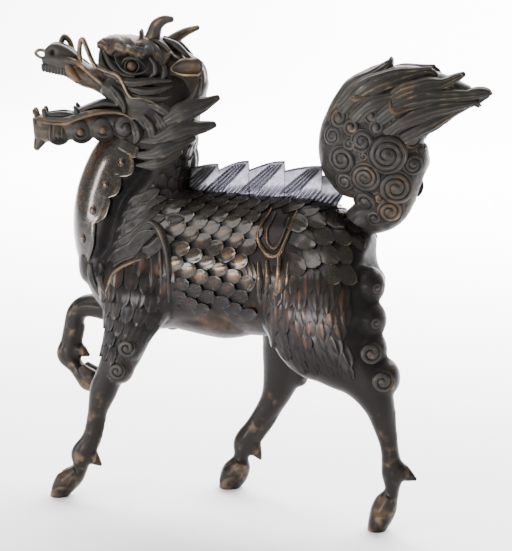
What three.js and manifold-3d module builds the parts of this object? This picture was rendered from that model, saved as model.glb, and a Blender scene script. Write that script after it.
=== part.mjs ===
// A cast bronze qilin that strides on three cloven hooves with its right foreleg raised. The beast
// faces -X, its left side is -Y, up is +Z, and the floor is z = 0. Lengths are in millimetres.
//
// The pose and the carving are shares of the figure's height: a station's place and half widths
// are given in hundredths of it. Sizes that stand on their own, such as the fin's thickness or a
// whisker's wire, are named values in millimetres.

import * as THREE from "three";
import { mergeVertices } from "three/addons/utils/BufferGeometryUtils.js";
import Module from "manifold-3d";

const figureHeight = 400; // floor to the tip of the upper horn
const finThickness = 3.4;
const whiskerDiameter = 2.6;
const toothHeight = 5.2;
const toothDiameter = 3.2;
const eyeDiameter = 8.6;
const studDiameter = 5;
const scaleRise = 2.2; // how far a scale's tip stands off the hide
const finestDetail = 1.05; // edges shorter than this are not kept
const headTurn = THREE.MathUtils.degToRad(17); // the head looks round to its own left
const bronze = { color: 0x3a2c22, roughness: 0.38, metalness: 0.85 };

const share = figureHeight / 100;
const middle = -0.9; // x of the figure's middle, in shares, which the origin stands under
const lateral = new THREE.Vector3(0, 1, 0);
const nearSide = -1;
const farSide = 1;

const wasm = await Module();
wasm.setup();

// A closed triangle mesh becomes a solid once the vertices that its faces share are merged.
function solidOf(geometry) {
  const bare = new THREE.BufferGeometry().setAttribute("position", geometry.getAttribute("position"));
  bare.setIndex(geometry.index);
  const merged = mergeVertices(bare, 1e-4);
  return new wasm.Manifold(
    new wasm.Mesh({
      numProp: 3,
      vertProperties: merged.attributes.position.array,
      triVerts: new Uint32Array(merged.index.array),
    }),
  );
}

// Faces between rings of points, with an apex that closes each end.
function closedRings(startApex, rings, endApex) {
  const sides = rings[0].length;
  const points = [startApex, ...rings.flat(), endApex];
  const faces = [];
  const at = (ring, corner) => 1 + ring * sides + (corner % sides);
  for (let corner = 0; corner < sides; corner++) {
    faces.push(0, at(0, corner), at(0, corner + 1));
    for (let ring = 0; ring < rings.length - 1; ring++) {
      const [a, b] = [at(ring, corner), at(ring + 1, corner)];
      const [c, d] = [at(ring, corner + 1), at(ring + 1, corner + 1)];
      // the net's diagonals alternate, so a raised corner stands alone like a scale's tip
      if ((ring + corner) % 2 === 0) faces.push(a, b, c, c, b, d);
      else faces.push(a, b, d, a, d, c);
    }
    faces.push(at(rings.length - 1, corner), points.length - 1, at(rings.length - 1, corner + 1));
  }
  return new THREE.BufferGeometry().setFromPoints(points).setIndex(faces);
}

// A limb: an oval section carried along a smooth line through stations, each of which is
// [x, y, z, depth, width] in shares of the height. Depth is the half width in the plane of the
// beast's side and width the half width across it. A hook bends the section's rim outwards.
class Limb {
  constructor(stations, { across = lateral, startCap = 0.5, endCap = 0.5 } = {}) {
    const centres = stations.map(([x, y, z]) => new THREE.Vector3(x - middle, y, z).multiplyScalar(share));
    const halves = stations.map((s) => new THREE.Vector3(s[3], s[4], 0).multiplyScalar(share));
    this.line = new THREE.CatmullRomCurve3(centres, false, "catmullrom", 0.5);
    this.halves = new THREE.CatmullRomCurve3(halves, false, "catmullrom", 0.5);
    this.across = across;
    this.caps = [startCap, endCap];
  }

  frame(t) {
    const centre = this.line.getPoint(t);
    const along = this.line.getTangent(t);
    const side = this.across.clone().addScaledVector(along, -this.across.dot(along)).normalize();
    const front = along.clone().cross(side);
    const half = this.halves.getPoint(t);
    return { centre, along, side, front, depth: half.x, width: half.y };
  }

  // The skin at t along the limb, at an angle from its front round towards +Y.
  skin(t, angle) {
    const { centre, side, front, depth, width } = this.frame(t);
    return centre.addScaledVector(front, depth * Math.cos(angle)).addScaledVector(side, width * Math.sin(angle));
  }

  // A point of the skin, with the outward normal and the way down the limb there.
  spot(t, angle) {
    const step = 0.01;
    const point = this.skin(t, angle);
    const [before, after] = [Math.max(t - step, 0), Math.min(t + step, 1)];
    const down = this.skin(after, angle).sub(this.skin(before, angle)).normalize();
    const round = this.skin(t, angle + step).sub(this.skin(t, angle - step)).normalize();
    const out = down.clone().cross(round).normalize();
    return { point, out, down, round };
  }

  // The closed solid between two places along the limb. The relief, if there is one, gives each
  // corner of the skin how far it stands out and how far it moves on along the limb.
  solid(sides, ringCount, { from = 0, to = 1, relief = null } = {}) {
    const rings = [];
    for (let ring = 0; ring <= ringCount; ring++) {
      const corners = Array.from({ length: sides }, (_, corner) => {
        const t = from + ((to - from) * ring) / ringCount;
        const angle = (corner / sides) * 2 * Math.PI;
        if (!relief) return this.skin(t, angle);
        const { rise, slide } = relief(ring, corner, t, angle);
        const { point, out } = this.spot(Math.min(t + slide, 1), angle);
        return point.addScaledVector(out, rise);
      });
      rings.push(corners);
    }
    const apex = (t, sign, cap) => {
      const { centre, along, depth, width } = this.frame(t);
      return centre.addScaledVector(along, (sign * cap * (depth + width)) / 2);
    };
    return solidOf(closedRings(apex(from, -1, this.caps[0]), rings, apex(to, 1, this.caps[1])));
  }
}

// Scales as relief on a limb's skin: every second corner of the net is a tip, which stands off
// the hide and reaches on over the root of the next row. Outside the hide's patch it is smooth.
const scaleRelief = (patch, reach) => (ring, corner, t, angle) => {
  if (!patch(t, Math.cos(angle), Math.sin(angle))) return { rise: 0, slide: 0 };
  const tip = (ring + corner) % 2 === 0;
  return { rise: tip ? scaleRise : -scaleRise * 0.35, slide: tip ? reach : 0 };
};

// The head's own frame: ahead of the poll, to the beast's right, and up, in shares of the height.
const poll = -23.25;
const headSide = new THREE.Vector3(-Math.sin(headTurn), Math.cos(headTurn), 0);
const headPlace = (ahead, right, up) => {
  const x = poll - ahead * Math.cos(headTurn) - right * Math.sin(headTurn);
  return [x, -ahead * Math.sin(headTurn) + right * Math.cos(headTurn), up];
};
const headPoint = (ahead, right, up) => {
  const [x, y, z] = headPlace(ahead, right, up);
  return new THREE.Vector3(x - middle, y, z).multiplyScalar(share);
};
// A limb of the head, from stations [ahead, right, up, depth, width].
const headLimb = (stations, caps = {}) => {
  const placed = stations.map(([ahead, right, up, depth, width]) => [...headPlace(ahead, right, up), depth, width]);
  return new Limb(placed, { across: headSide, ...caps });
};

// A slender lock of hair, horn or wire through points, thickest a third of the way along.
function lock(points, half, thin, { across = lateral, sides = 4, rings = 4, tip = 0.25, root = 0.75 } = {}) {
  const fullest = 0.35;
  const stations = points.map((point, i) => {
    const t = i / (points.length - 1);
    const swell = t < fullest ? root + (1 - root) * (t / fullest) : 1 - (1 - tip) * ((t - fullest) / (1 - fullest)) ** 1.5;
    return [point[0], point[1], point[2], half * swell, thin * swell];
  });
  return new Limb(stations, { across, startCap: 0.2, endCap: 0.9 }).solid(sides, rings);
}

function stud(centre, diameter, detail = 0) {
  const geometry = detail ? new THREE.IcosahedronGeometry(diameter / 2, 0) : new THREE.OctahedronGeometry(diameter / 2, 0);
  return solidOf(geometry.translate(centre.x, centre.y, centre.z));
}

// Turns a piece that was made about the origin, with its length on X and its top on Z.
function placeOn(geometry, point, out, down) {
  const round = out.clone().cross(down).normalize();
  const turn = new THREE.Matrix4().makeBasis(down.clone().normalize(), round, out).setPosition(point);
  return solidOf(geometry.applyMatrix4(turn));
}

// A curl of hair: a dome whose rings wind off centre towards a knob.
function curlOn({ point, out, down }, radius, sides = 6) {
  const profile = [
    [1.0, -0.2, 0],
    [0.84, 0.34, 0.02],
    [0.5, 0.16, 0.1],
  ];
  const rings = profile.map(([wide, high, off]) => {
    return Array.from({ length: sides }, (_, corner) => {
      const angle = (-corner / sides) * 2 * Math.PI;
      const spread = wide * (1.05 - 0.16 * (corner / sides));
      return new THREE.Vector3(spread * Math.cos(angle) + off, spread * Math.sin(angle), high).multiplyScalar(radius);
    });
  });
  const bottom = new THREE.Vector3(0, 0, -0.6 * radius);
  const top = new THREE.Vector3(0.12 * radius, 0, 0.56 * radius);
  return placeOn(closedRings(bottom, rings, top), point, out, down);
}

// A flat plate cut from an outline of [x, z] shares, standing in the middle of the beast.
function uprightPlate(outline, thickness) {
  const shape = new THREE.Shape(outline.map(([x, z]) => new THREE.Vector2((x - middle) * share, z * share)));
  const plate = new THREE.ExtrudeGeometry(shape, { depth: thickness, bevelEnabled: false });
  return solidOf(plate.translate(0, 0, -thickness / 2).rotateX(Math.PI / 2));
}

const trunk = new Limb([
  [-36, -2.4, 50.6, 6.4, 5],
  [-32, -1.4, 50, 10.8, 8],
  [-25.5, -0.4, 49.4, 13.6, 9.6],
  [-17.5, 0, 50.6, 14.1, 10.4],
  [-8, 0, 50.5, 14.2, 10.6],
  [2, 0, 50.3, 14.1, 10.6],
  [10, 0, 50.8, 13.6, 10.4],
  [16.5, 0, 50.2, 12, 9.6],
  [21, 0, 49, 8.6, 8],
  [24, 0, 48.2, 3.6, 4],
], { endCap: 0.2 });

const neck = new Limb([
  [-24.4, -0.4, 46, 11, 7.5],
  [-26.9, -0.9, 54, 11.8, 7.8],
  [-26.6, -1, 61, 12, 7.4],
  [-25.5, -0.8, 68, 11, 6.8],
  [-24, -0.4, 74, 9.5, 6.2],
  [-21.8, 0.3, 80.5, 8.2, 6],
  [-20.6, 0.8, 87, 6.4, 5.4],
]);

// The tail springs from the rump, swells into a bulb of curls and sweeps back as a plume.
const tail = new Limb([
  [15.5, 0, 57.5, 3.6, 3.6],
  [20.2, 0, 60.2, 3.3, 3.2],
  [23.8, 0, 64.2, 6.6, 4.6],
  [24.4, 0, 70.2, 10.4, 6.4],
  [24.2, 0, 76.8, 11, 7],
  [26.8, 0, 82.4, 9.4, 6.4],
  [31.4, 0, 85, 7.2, 5],
  [36.8, 0, 86.2, 4.6, 3.2],
  [41.6, 0, 86.8, 1.9, 1.6],
]);

// Each standing leg runs down to a hoof that stands on its toe.
const leftForeleg = new Limb([
  [-21.8, -4.6, 57, 6.6, 2.8],
  [-23, -6.6, 50, 8.6, 4.4],
  [-23.7, -7.4, 43.4, 7.8, 4.4],
  [-25.2, -7.6, 37, 5.5, 3.7],
  [-27.4, -7.6, 31.4, 4.1, 3],
  [-29.8, -7.6, 27, 3, 2.5],
  [-31.4, -7.6, 23.4, 2.9, 2.3],
  [-32.9, -7.5, 18.5, 2, 1.7],
  [-34.3, -7.5, 13.4, 1.85, 1.5],
  [-36.1, -7.5, 9.4, 2.2, 1.9],
  [-36.7, -7.5, 6.9, 1.7, 1.6],
  [-38.4, -7.5, 4.8, 2.3, 2.3],
  [-40.5, -7.5, 2.2, 2.4, 2.6],
  [-42.1, -7.5, -0.3, 1.7, 2.3],
]);

const rightForeleg = new Limb([
  [-21, 4.6, 56, 6.2, 2.8],
  [-22.6, 6.8, 49, 7.6, 4.4],
  [-25.4, 7.4, 42.6, 6.6, 4.4],
  [-30.4, 7.6, 38, 3.9, 3.3],
  [-35.8, 7.6, 37.1, 2.3, 2.4],
  [-40.2, 7.6, 37, 2, 2.1],
  [-42.8, 7.5, 35.8, 2.2, 2],
  [-43.8, 7.5, 32.6, 2.3, 1.9],
  [-44.7, 7.5, 29, 2.1, 1.8],
  [-45.2, 7.5, 26.2, 2.5, 2],
  [-43.6, 7.4, 23.8, 1.9, 1.7],
  [-42.2, 7.4, 22.3, 2, 1.9],
  [-40.6, 7.4, 20.7, 2.5, 2.3],
  [-39, 7.4, 19.4, 1.6, 1.9],
]);

const leftHindleg = new Limb([
  [17, -4.4, 57, 6.6, 3.6],
  [15.6, -6.2, 51, 10, 5],
  [14.9, -6.9, 45, 11.6, 5.2],
  [16.2, -7.3, 39.2, 11, 4.8],
  [19.8, -7.6, 35, 8.1, 4.2],
  [23.8, -7.8, 31, 5.5, 3.6],
  [26.8, -7.9, 26.2, 3.6, 2.9],
  [28.1, -7.9, 21.2, 2.4, 2.2],
  [29.2, -7.9, 17, 1.95, 1.8],
  [29.9, -7.8, 12, 2.1, 1.9],
  [30.1, -7.8, 8.8, 1.5, 1.5],
  [29, -7.8, 6.2, 2.1, 2.2],
  [27.8, -7.8, 3.2, 2.5, 2.6],
  [26.6, -7.8, -0.3, 1.8, 2.3],
]);

const rightHindleg = new Limb([
  [15.6, 4.4, 56, 6.8, 3.6],
  [12.6, 6.2, 50.4, 10, 5],
  [9.6, 7, 43.8, 10.8, 5.2],
  [6.6, 7.4, 37, 8.2, 4.6],
  [4, 7.8, 31, 5.6, 3.8],
  [2.5, 8, 25.6, 4.2, 3],
  [0.7, 8, 20.2, 2.9, 2.3],
  [-2.8, 7.9, 14.6, 2.2, 1.8],
  [-5.7, 7.8, 10.2, 2.4, 1.9],
  [-6.4, 7.8, 7.2, 1.6, 1.5],
  [-7, 7.8, 5, 2.4, 2.2],
  [-8.2, 7.8, 2.5, 2.9, 2.6],
  [-9.6, 7.8, -0.3, 1.9, 2.3],
]);

const skull = headLimb([
  [-9, 0, 84.4, 4, 3.6],
  [-6.4, 0, 85.9, 6.6, 5],
  [-2.6, 0, 87, 7.5, 5.6],
  [1, 0, 87.2, 7, 5.4],
  [5, 0, 87.4, 6, 5],
  [8.2, 0, 87.4, 4.5, 4.4],
  [10.6, 0, 87.2, 2.8, 3.8],
  [12.8, 0, 87.9, 2.1, 3.4],
  [15.2, 0, 89.6, 2.3, 3.2],
  [17.6, 0, 91.2, 2.6, 3.3],
  [19.6, 0, 91.2, 1.9, 2.8],
  [20.8, 0, 90.9, 1.1, 2],
]);

const lowerJaw = headLimb([
  [-3.5, 0, 80.4, 3.6, 4.4],
  [2, 0, 79, 3, 4.2],
  [7.5, 0, 78.8, 3.2, 3.8],
  [12, 0, 78.3, 2.9, 3.4],
  [16.4, 0, 77.5, 2.6, 3.2],
  [20, 0, 77.1, 2.6, 2.9],
  [22, 0, 77.3, 2.7, 2.2],
]);

const tongue = headLimb([
  [2, 0, 81.2, 1.5, 2.4],
  [6, 0, 81.6, 1.2, 2.2],
  [10, 0, 81.8, 1, 1.9],
  [13, 0, 81.2, 0.8, 1.4],
]);

// The horns sweep back from the crown. The far one leans further back.
function horns() {
  const paths = [
    [[-0.8, -1.8, 92.5], [-1.2, -2.3, 96], [-2.4, -2.8, 98.6], [-4.9, -3, 99.25]],
    [[-3.2, 1.8, 91.5], [-4.4, 2.3, 94.8], [-7, 2.8, 96.6], [-10.3, 3, 97]],
  ];
  return paths.map((path) => {
    const placed = path.map((point) => headPlace(...point));
    return lock(placed, 1.35, 1.3, { across: headSide, sides: 5, tip: 0.4, root: 1 });
  });
}

// What both sides of the head carry, listed by its place ahead, out and up.
function headSidePieces(sign) {
  const place = (ahead, out, up) => headPlace(ahead, sign * out, up);
  const at = (ahead, out, up) => headPoint(ahead, sign * out, up);
  const made = [];
  const addLock = (points, half, thin, options) => {
    made.push(lock(points.map((point) => place(...point)), half, thin, { across: headSide, ...options }));
  };
  const droop = sign === farSide ? 1.8 : 0; // the far side is set lower, where the head turns away
  const ear = [[-3.6, 5, 89.2], [-6, 6.4, 90.2 - droop], [-8.4, 7, 90.8 - droop], [-10.6, 6.8, 91.2 - droop]];
  addLock(ear, 2.1, 1.1, { tip: 0.3 });
  const brow = [[-6, 4.4, 91], [-1.4, 4.8, 92.6], [3, 4.4, 93.3], [7, 3.2, 93.6], [10.4, 2.2, 93.6]];
  addLock(brow, 1.7, 1.8, { tip: 0.4 });
  const lip = [[-2, 4.2, 81.6], [5, 3.8, 81.4], [13, 3.1, 80.6], [19, 2.9, 79.2], [22, 2, 81]];
  addLock(lip, 0.75, 0.9, { tip: 0.7 });
  const tufts = sign === nearSide ? [[87.2, 5.6], [83.6, 4.6]] : [[86, 5.4]];
  for (const [up, out] of tufts) {
    addLock([[4, out, up], [0, out + 1, up - 0.4], [-4.6, out + 1, up + 0.8]], 1.5, 1.1);
  }
  const mane = [
    [[-1, 5.6, 76.6], [-5, 6.6, 78], [-8.6, 6.2, 80.6], [-11.6, 5.2, 82.4], [-13.4, 4.6, 83.6]],
    [[0, 6, 73.6], [-5, 7.2, 74.8], [-8.6, 6.6, 76.8], [-11, 5.8, 78.2], [-13, 5.4, 79]],
    [[1.6, 6.4, 70.4], [-2.6, 7.6, 70.8], [-6.6, 7.2, 72.6], [-9.4, 6.2, 74.8]],
  ].map((path) => path.map(([ahead, out, up]) => [ahead + droop / 2, out, up - droop]));
  for (const path of mane) addLock(path, 2, 1.4, { rings: 6, tip: 0.35 });
  made.push(stud(at(3.3, 4.7, 91), eyeDiameter, 1));
  const studs = [
    [7.6, 3.4, 94.6],
    [1.2, 5.4, 94],
    [13.6, 3, 77],
    [8.6, 3.5, 77],
  ];
  for (const [ahead, out, up] of studs) made.push(stud(at(ahead, out, up), studDiameter));
  // a tooth points down from the upper gum or up from the lower one
  const addTooth = (ahead, out, up, points) => {
    const cone = new THREE.ConeGeometry(toothDiameter / 2, toothHeight, 4).rotateX((points * Math.PI) / 2);
    const root = at(ahead, out, up);
    made.push(solidOf(cone.translate(root.x, root.y, root.z)));
  };
  for (let i = 0; i < 4; i++) addTooth(19.6 - i * 1.5, 1.7 + i * 0.2, 89.5 - i * 0.55, -1);
  addTooth(14.4, 2.4, 79.8, 1);
  addTooth(20.4, 1.5, 79.4, 1);
  return made;
}

// A whisker of wire on each side: up from beside the nostril in a loop, and on the near side it
// runs back along the cheek.
function whiskers() {
  const loop = [[14, 2.2, 89.6], [14, 3.4, 92.8], [12.8, 4.2, 94.6], [11.2, 4.8, 91.6]];
  const cheek = [[8.6, 5.4, 88.6], [5, 5.8, 87.6], [2.4, 6.2, 83], [-1, 6.2, 82.2]];
  const back = [[10.6, 4.4, 89], [10.8, 3.2, 87.6]];
  const wire = whiskerDiameter / 2 / share;
  const along = (points, sign) => headLimb(points.map(([ahead, out, up]) => [ahead, sign * out, up, wire, wire]));
  return [along([...loop, ...cheek], nearSide).solid(3, 11), along([...loop, ...back], farSide).solid(3, 7)];
}

function headPieces() {
  const beard = lock([headPlace(20.6, 0, 79), headPlace(21.6, 0, 76), headPlace(22.4, 0, 73)], 2, 1.8, { across: headSide });
  const noseCurl = lock([headPlace(17.4, 0, 92.6), headPlace(19.6, 0, 94.4), headPlace(21, 0, 93)], 1, 1.6, { across: headSide });
  const made = [skull.solid(8, 14), lowerJaw.solid(6, 7), tongue.solid(4, 3), beard, noseCurl];
  made.push(...horns(), ...whiskers(), ...headSidePieces(nearSide), ...headSidePieces(farSide));
  return made;
}

// The dorsal fin: four hooked teeth and a blunt end over the rump.
function dorsalFin() {
  const outline = [
    [-15.5, 62],
    [-14.6, 69.2],
    [-8.6, 70.5],
    [-8.4, 69.4],
    [-5.6, 70.7],
    [-2.2, 71.3],
    [-2.4, 69.3],
    [1.2, 70.9],
    [5.3, 71.6],
    [5.2, 69.9],
    [9.2, 70.6],
    [13.1, 70.7],
    [12.9, 69.1],
    [14.9, 69.2],
    [17.2, 66.6],
    [15.5, 63.6],
    [13, 61],
  ];
  return uprightPlate(outline, finThickness);
}

// Locks of the plume fan out of the tail's top, on both sides and in the middle.
function plumeLocks() {
  const made = [];
  const middleTips = [
    [[17, 0, 83], [20.8, 0, 88.8], [26, 0, 92.6]],
    [[36, 0, 82.8], [41, 0, 85], [45.4, 0, 86.8]],
  ];
  for (const path of middleTips) made.push(lock(path, 1.9, 1.7, { tip: 0.35, root: 1 }));
  const sideTips = [
    [[20.5, 5.2, 82], [26, 4.8, 87], [30, 3, 89.2], [34.4, 1.8, 90.6]],
    [[24.5, 6, 80.6], [30, 5, 85.4], [35, 3, 87.8], [40, 1.8, 89.4]],
    [[28, 6, 78], [33.5, 4.6, 81.6], [38.5, 2.8, 84.2], [43.6, 1.6, 84.8]],
  ];
  for (const sign of [nearSide, farSide]) {
    for (const path of sideTips) {
      made.push(lock(path.map(([x, y, z]) => [x, sign * y, z]), 2.6, 1.5, { rings: 5, tip: 0.25, root: 1 }));
    }
  }
  return made;
}

// Curls wrap the tail's bulb: [t along the tail, angle from its front edge, radius in shares].
// The far side, which the photographed side hides, has every second one.
function tailCurls() {
  const spots = [
    [0.36, 0.7, 3.4],
    [0.22, 0.46, 2.1],
    [0.48, 0.7, 3.7],
    [0.33, 0.36, 2.7],
    [0.34, 0.2, 2.1],
    [0.47, 0.42, 2.5],
    [0.47, 0.2, 2.5],
    [0.27, 0.7, 2.1],
    [0.58, 0.5, 2.4],
    [0.59, 0.2, 2.1],
  ];
  return [nearSide, farSide].flatMap((sign) => {
    const kept = spots.filter((_, i) => sign === nearSide || i % 2 === 0);
    return kept.map(([t, turn, radius]) => curlOn(tail.spot(t, sign * turn * Math.PI), radius * share));
  });
}

// Curls run down the back of each haunch and under each elbow: [x, z, radius] in shares, on the
// outer side of the leg at the given distance from the middle.
function legCurls() {
  const groups = [
    [-9.6, [[23.4, 49, 3], [25.4, 42.8, 3], [26, 36.6, 3.1], [27.6, 31.4, 3.6]]],
    [-9.4, [[-24.4, 33.8, 2.7], [-26.8, 28.8, 2.5]]],
    [9.6, [[20.4, 46.6, 3.2], [16, 38.6, 3.2], [10.4, 31.8, 3]]],
    [9.4, [[-20.8, 36.6, 2.6]]],
  ];
  return groups.flatMap(([y, spots]) => spots.map(([x, z, radius]) => {
    const point = new THREE.Vector3(x - middle, y, z).multiplyScalar(share);
    const out = new THREE.Vector3(0.35, Math.sign(y), 0).normalize();
    return curlOn({ point, out, down: new THREE.Vector3(0, 0, -1).cross(out).cross(out).negate() }, radius * share);
  }));
}

// The trunk carries scales on its back and flanks, and the top of each leg on its outer side.
function body() {
  const hide = scaleRelief((t, up) => t > 0.2 && t < 0.94 && up > -0.62, 0.038);
  const onOuterSide = (sign, end) => scaleRelief((t, _, right) => t > 0.05 && t < end && right * sign > -0.3, 0.038);
  const made = [trunk.solid(32, 18, { relief: hide }), neck.solid(9, 7), tail.solid(9, 10)];
  for (const [leg, sign] of [[leftHindleg, nearSide], [rightHindleg, farSide]]) {
    made.push(leg.solid(16, 9, { to: 0.46, relief: onOuterSide(sign, 0.42) }), leg.solid(6, 10, { from: 0.42 }));
  }
  for (const [leg, sign] of [[leftForeleg, nearSide], [rightForeleg, farSide]]) {
    made.push(leg.solid(12, 6, { to: 0.34, relief: onOuterSide(sign, 0.3) }), leg.solid(6, 11, { from: 0.3 }));
  }
  return made;
}

// A lock that lies on a limb's skin, through [t, angle] pairs.
function skinLock(limb, sign, pairs, half, thin, options) {
  const points = pairs.map(([t, turn]) => {
    const point = limb.skin(t, sign * turn * Math.PI).divideScalar(share);
    return [point.x + middle, point.y, point.z];
  });
  return lock(points, half, thin, options);
}

// Flames that spring from the shoulder and the haunch and lie over the flank.
function flames() {
  const made = [];
  for (const sign of [nearSide, farSide]) {
    const foreleg = sign < 0 ? leftForeleg : rightForeleg;
    const hindleg = sign < 0 ? leftHindleg : rightHindleg;
    made.push(skinLock(foreleg, sign, [[0.12, 0.9], [0.08, 0.7], [0.04, 0.5], [0.02, 0.2]], 1.6, 1.7));
    made.push(skinLock(foreleg, sign, [[0.04, 0.12], [0.1, 0.16], [0.17, 0.18], [0.25, 0.18]], 1.4, 1.7));
    made.push(skinLock(hindleg, sign, [[0.02, 0.6], [0.07, 0.7], [0.12, 0.76], [0.22, 0.78]], 1.3, 1.7));
  }
  const foreleg = leftForeleg;
  made.push(skinLock(foreleg, nearSide, [[0.18, 0.9], [0.13, 0.7], [0.1, 0.5], [0.06, 0.26]], 1.5, 1.6));
  return made;
}

// A pointed dew claw behind each fetlock: [leg, t of its root, tip as x, y, z].
function dewClaws() {
  const claws = [
    [[-35.6, -7.5, 10.6], [-34, -7.5, 9], [-32.3, -7.5, 7.6]],
    [[-44.6, 7.5, 27.6], [-42.4, 7.5, 27.4], [-40.6, 7.5, 26.6]],
    [[30.4, -7.8, 13.4], [32.4, -7.8, 12.2], [34.4, -7.8, 11.3]],
    [[-4.6, 7.8, 11], [-3.4, 7.8, 9], [-2.2, 7.8, 7]],
  ];
  return claws.map((path) => lock(path, 1.3, 1.1, { rings: 3, tip: 0.3, root: 1 }));
}

// The cleft between the two toes of a hoof, a wedge-shaped cut from its front down to its toe.
function hoofClefts() {
  const toes = [
    [[-42.4, -7.5, 4.6], [-44.4, -7.5, -1]],
    [[27.2, -7.8, 6.2], [24.2, -7.8, -1]],
    [[-9.8, 7.8, 5], [-12.4, 7.8, -1]],
  ];
  return toes.map(([top, toe]) => lock([top, toe.map((v, i) => (v + top[i]) / 2), toe], 1, 0.35, { rings: 2, sides: 4, root: 0.3, tip: 1 }));
}

// The outer skin alone: the hollows that overlapping pieces seal off inside are filled.
const outerSkin = (solid) => solid.decompose().reduce((a, b) => (b.volume() > a.volume() ? b : a));

function figure() {
  const carving = [...flames(), ...tailCurls(), ...legCurls(), ...plumeLocks(), ...dewClaws()];
  const whole = wasm.Manifold.union([...body(), dorsalFin(), ...headPieces(), ...carving]);
  const reach = figureHeight * 2;
  const belowFloor = solidOf(new THREE.BoxGeometry(reach, reach, reach).translate(0, 0, -reach / 2));
  return outerSkin(wasm.Manifold.difference([outerSkin(whole), ...hoofClefts(), belowFloor]).simplify(finestDetail));
}

function meshOf(solid, name) {
  const { numProp, vertProperties, triVerts } = solid.getMesh();
  const positions = [];
  for (let i = 0; i < vertProperties.length; i += numProp) positions.push(...vertProperties.slice(i, i + 3));
  const geometry = new THREE.BufferGeometry();
  geometry.setAttribute("position", new THREE.Float32BufferAttribute(positions, 3));
  geometry.setIndex([...triVerts]);
  geometry.computeVertexNormals();
  const mesh = new THREE.Mesh(geometry, new THREE.MeshStandardMaterial(bronze));
  mesh.name = name;
  return mesh;
}

const qilin = new THREE.Group();
qilin.add(meshOf(figure(), "qilin_figure"));

export default qilin;
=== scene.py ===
# The looks of a cast bronze qilin that strides on three hooves, in metres and in the frame of its
# solid: the beast faces -X, its left side is -Y, up is +Z and it stands on z = 0. Places are in
# hundredths of the figure's height, and toMetres turns them into metres.
import math

import bpy
import numpy as np
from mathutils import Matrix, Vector
from mathutils.bvhtree import BVHTree


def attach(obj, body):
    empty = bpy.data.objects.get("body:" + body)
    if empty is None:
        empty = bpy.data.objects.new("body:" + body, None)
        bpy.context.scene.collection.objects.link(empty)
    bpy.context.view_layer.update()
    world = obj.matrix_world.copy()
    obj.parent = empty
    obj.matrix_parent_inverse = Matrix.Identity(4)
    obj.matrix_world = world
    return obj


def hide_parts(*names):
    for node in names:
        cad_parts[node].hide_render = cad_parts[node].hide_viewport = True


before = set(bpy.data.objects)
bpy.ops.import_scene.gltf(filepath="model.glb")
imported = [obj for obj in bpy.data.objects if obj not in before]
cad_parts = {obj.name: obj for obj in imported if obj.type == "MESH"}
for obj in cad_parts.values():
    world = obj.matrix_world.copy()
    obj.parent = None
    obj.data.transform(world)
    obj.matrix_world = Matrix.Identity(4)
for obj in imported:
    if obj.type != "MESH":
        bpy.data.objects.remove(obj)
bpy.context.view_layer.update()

figure = {
    "height": 0.4,  # metres, floor to the upper horn's tip
    "middle": -0.9,  # x of the figure's middle, in shares of the height
    "headTurn": 17,  # degrees that the head looks round to its own left
    "poll": -23.25,  # x of the head's pivot, in shares
    "bodyVoxel": 0.0016,
    "tailVoxel": 0.0016,
    "headVoxel": 0.00095,
}
share = figure["height"] / 100
headTurn = math.radians(figure["headTurn"])
acrossBody = np.array([0.0, 1.0, 0.0])
acrossHead = np.array([-math.sin(headTurn), math.cos(headTurn), 0.0])
near, far = -1, 1
chance = np.random.default_rng(11)


def toMetres(places):
    # metres = (place - middle of the figure) * share
    return (np.asarray(places, float) - [figure["middle"], 0, 0]) * share


def toShares(points):
    # the way back, as rows of x, y and z
    return (points / share + [figure["middle"], 0, 0]).T


def headPlaces(places):
    # x = poll - ahead cos a - right sin a, y = -ahead sin a + right cos a, z = up
    ahead, right, up = np.moveaxis(np.asarray(places, float), -1, 0)
    x = figure["poll"] - ahead * math.cos(headTurn) - right * math.sin(headTurn)
    return np.stack([x, -ahead * math.sin(headTurn) + right * math.cos(headTurn), up], -1)


def unit(vectors):
    # each vector over its own length
    return vectors / np.maximum(np.linalg.norm(vectors, axis=-1, keepdims=True), 1e-12)


def smoothStep(values, low, high):
    # 3 s^2 - 2 s^3 of the value's place between low and high
    s = np.clip((np.asarray(values, float) - low) / (high - low), 0, 1)
    return s * s * (3 - 2 * s)


def bump(values, centre, wide):
    # exp of minus the squared distance from the centre, in widths
    return np.exp(-(((values - centre) / wide) ** 2))


def splineThrough(stations, places):
    # a cubic through every station: half of 2b + (c-a) f + (2a-5b+4c-d) f^2 + (3b-a-3c+d) f^3
    stations = np.asarray(stations, float)
    first, last = 2 * stations[0] - stations[1], 2 * stations[-1] - stations[-2]
    padded = np.vstack([first, stations, last])
    scaled = np.clip(places, 0, 1) * (len(stations) - 1)
    cell = np.minimum(scaled.astype(int), len(stations) - 2)
    f = (scaled - cell)[:, None]
    a, b, c, d = (padded[cell + k] for k in range(4))
    return 0.5 * (2 * b + (c - a) * f + (2 * a - 5 * b + 4 * c - d) * f**2 + (3 * b - a - 3 * c + d) * f**3)


# A part is a dictionary of points, face arrays, and a relief and a tone at each point.
def part(points, faces, relief=0.5, tone=0.5):
    points = np.asarray(points, float).reshape(-1, 3)
    faces = [np.asarray(f) for f in faces if len(f)]
    volume = 0.0  # a . (b x c) summed over the faces is negative where they face inwards
    for f in faces:
        for k in range(1, f.shape[1] - 1):
            volume += np.einsum("ij,ij->", points[f[:, 0]], np.cross(points[f[:, k]], points[f[:, k + 1]]))
    if volume < 0:
        faces = [f[:, ::-1] for f in faces]
    fill = lambda value: np.broadcast_to(np.asarray(value, float).ravel(), len(points)).copy()
    return {"points": points, "faces": faces, "relief": fill(relief), "tone": fill(tone)}


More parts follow.
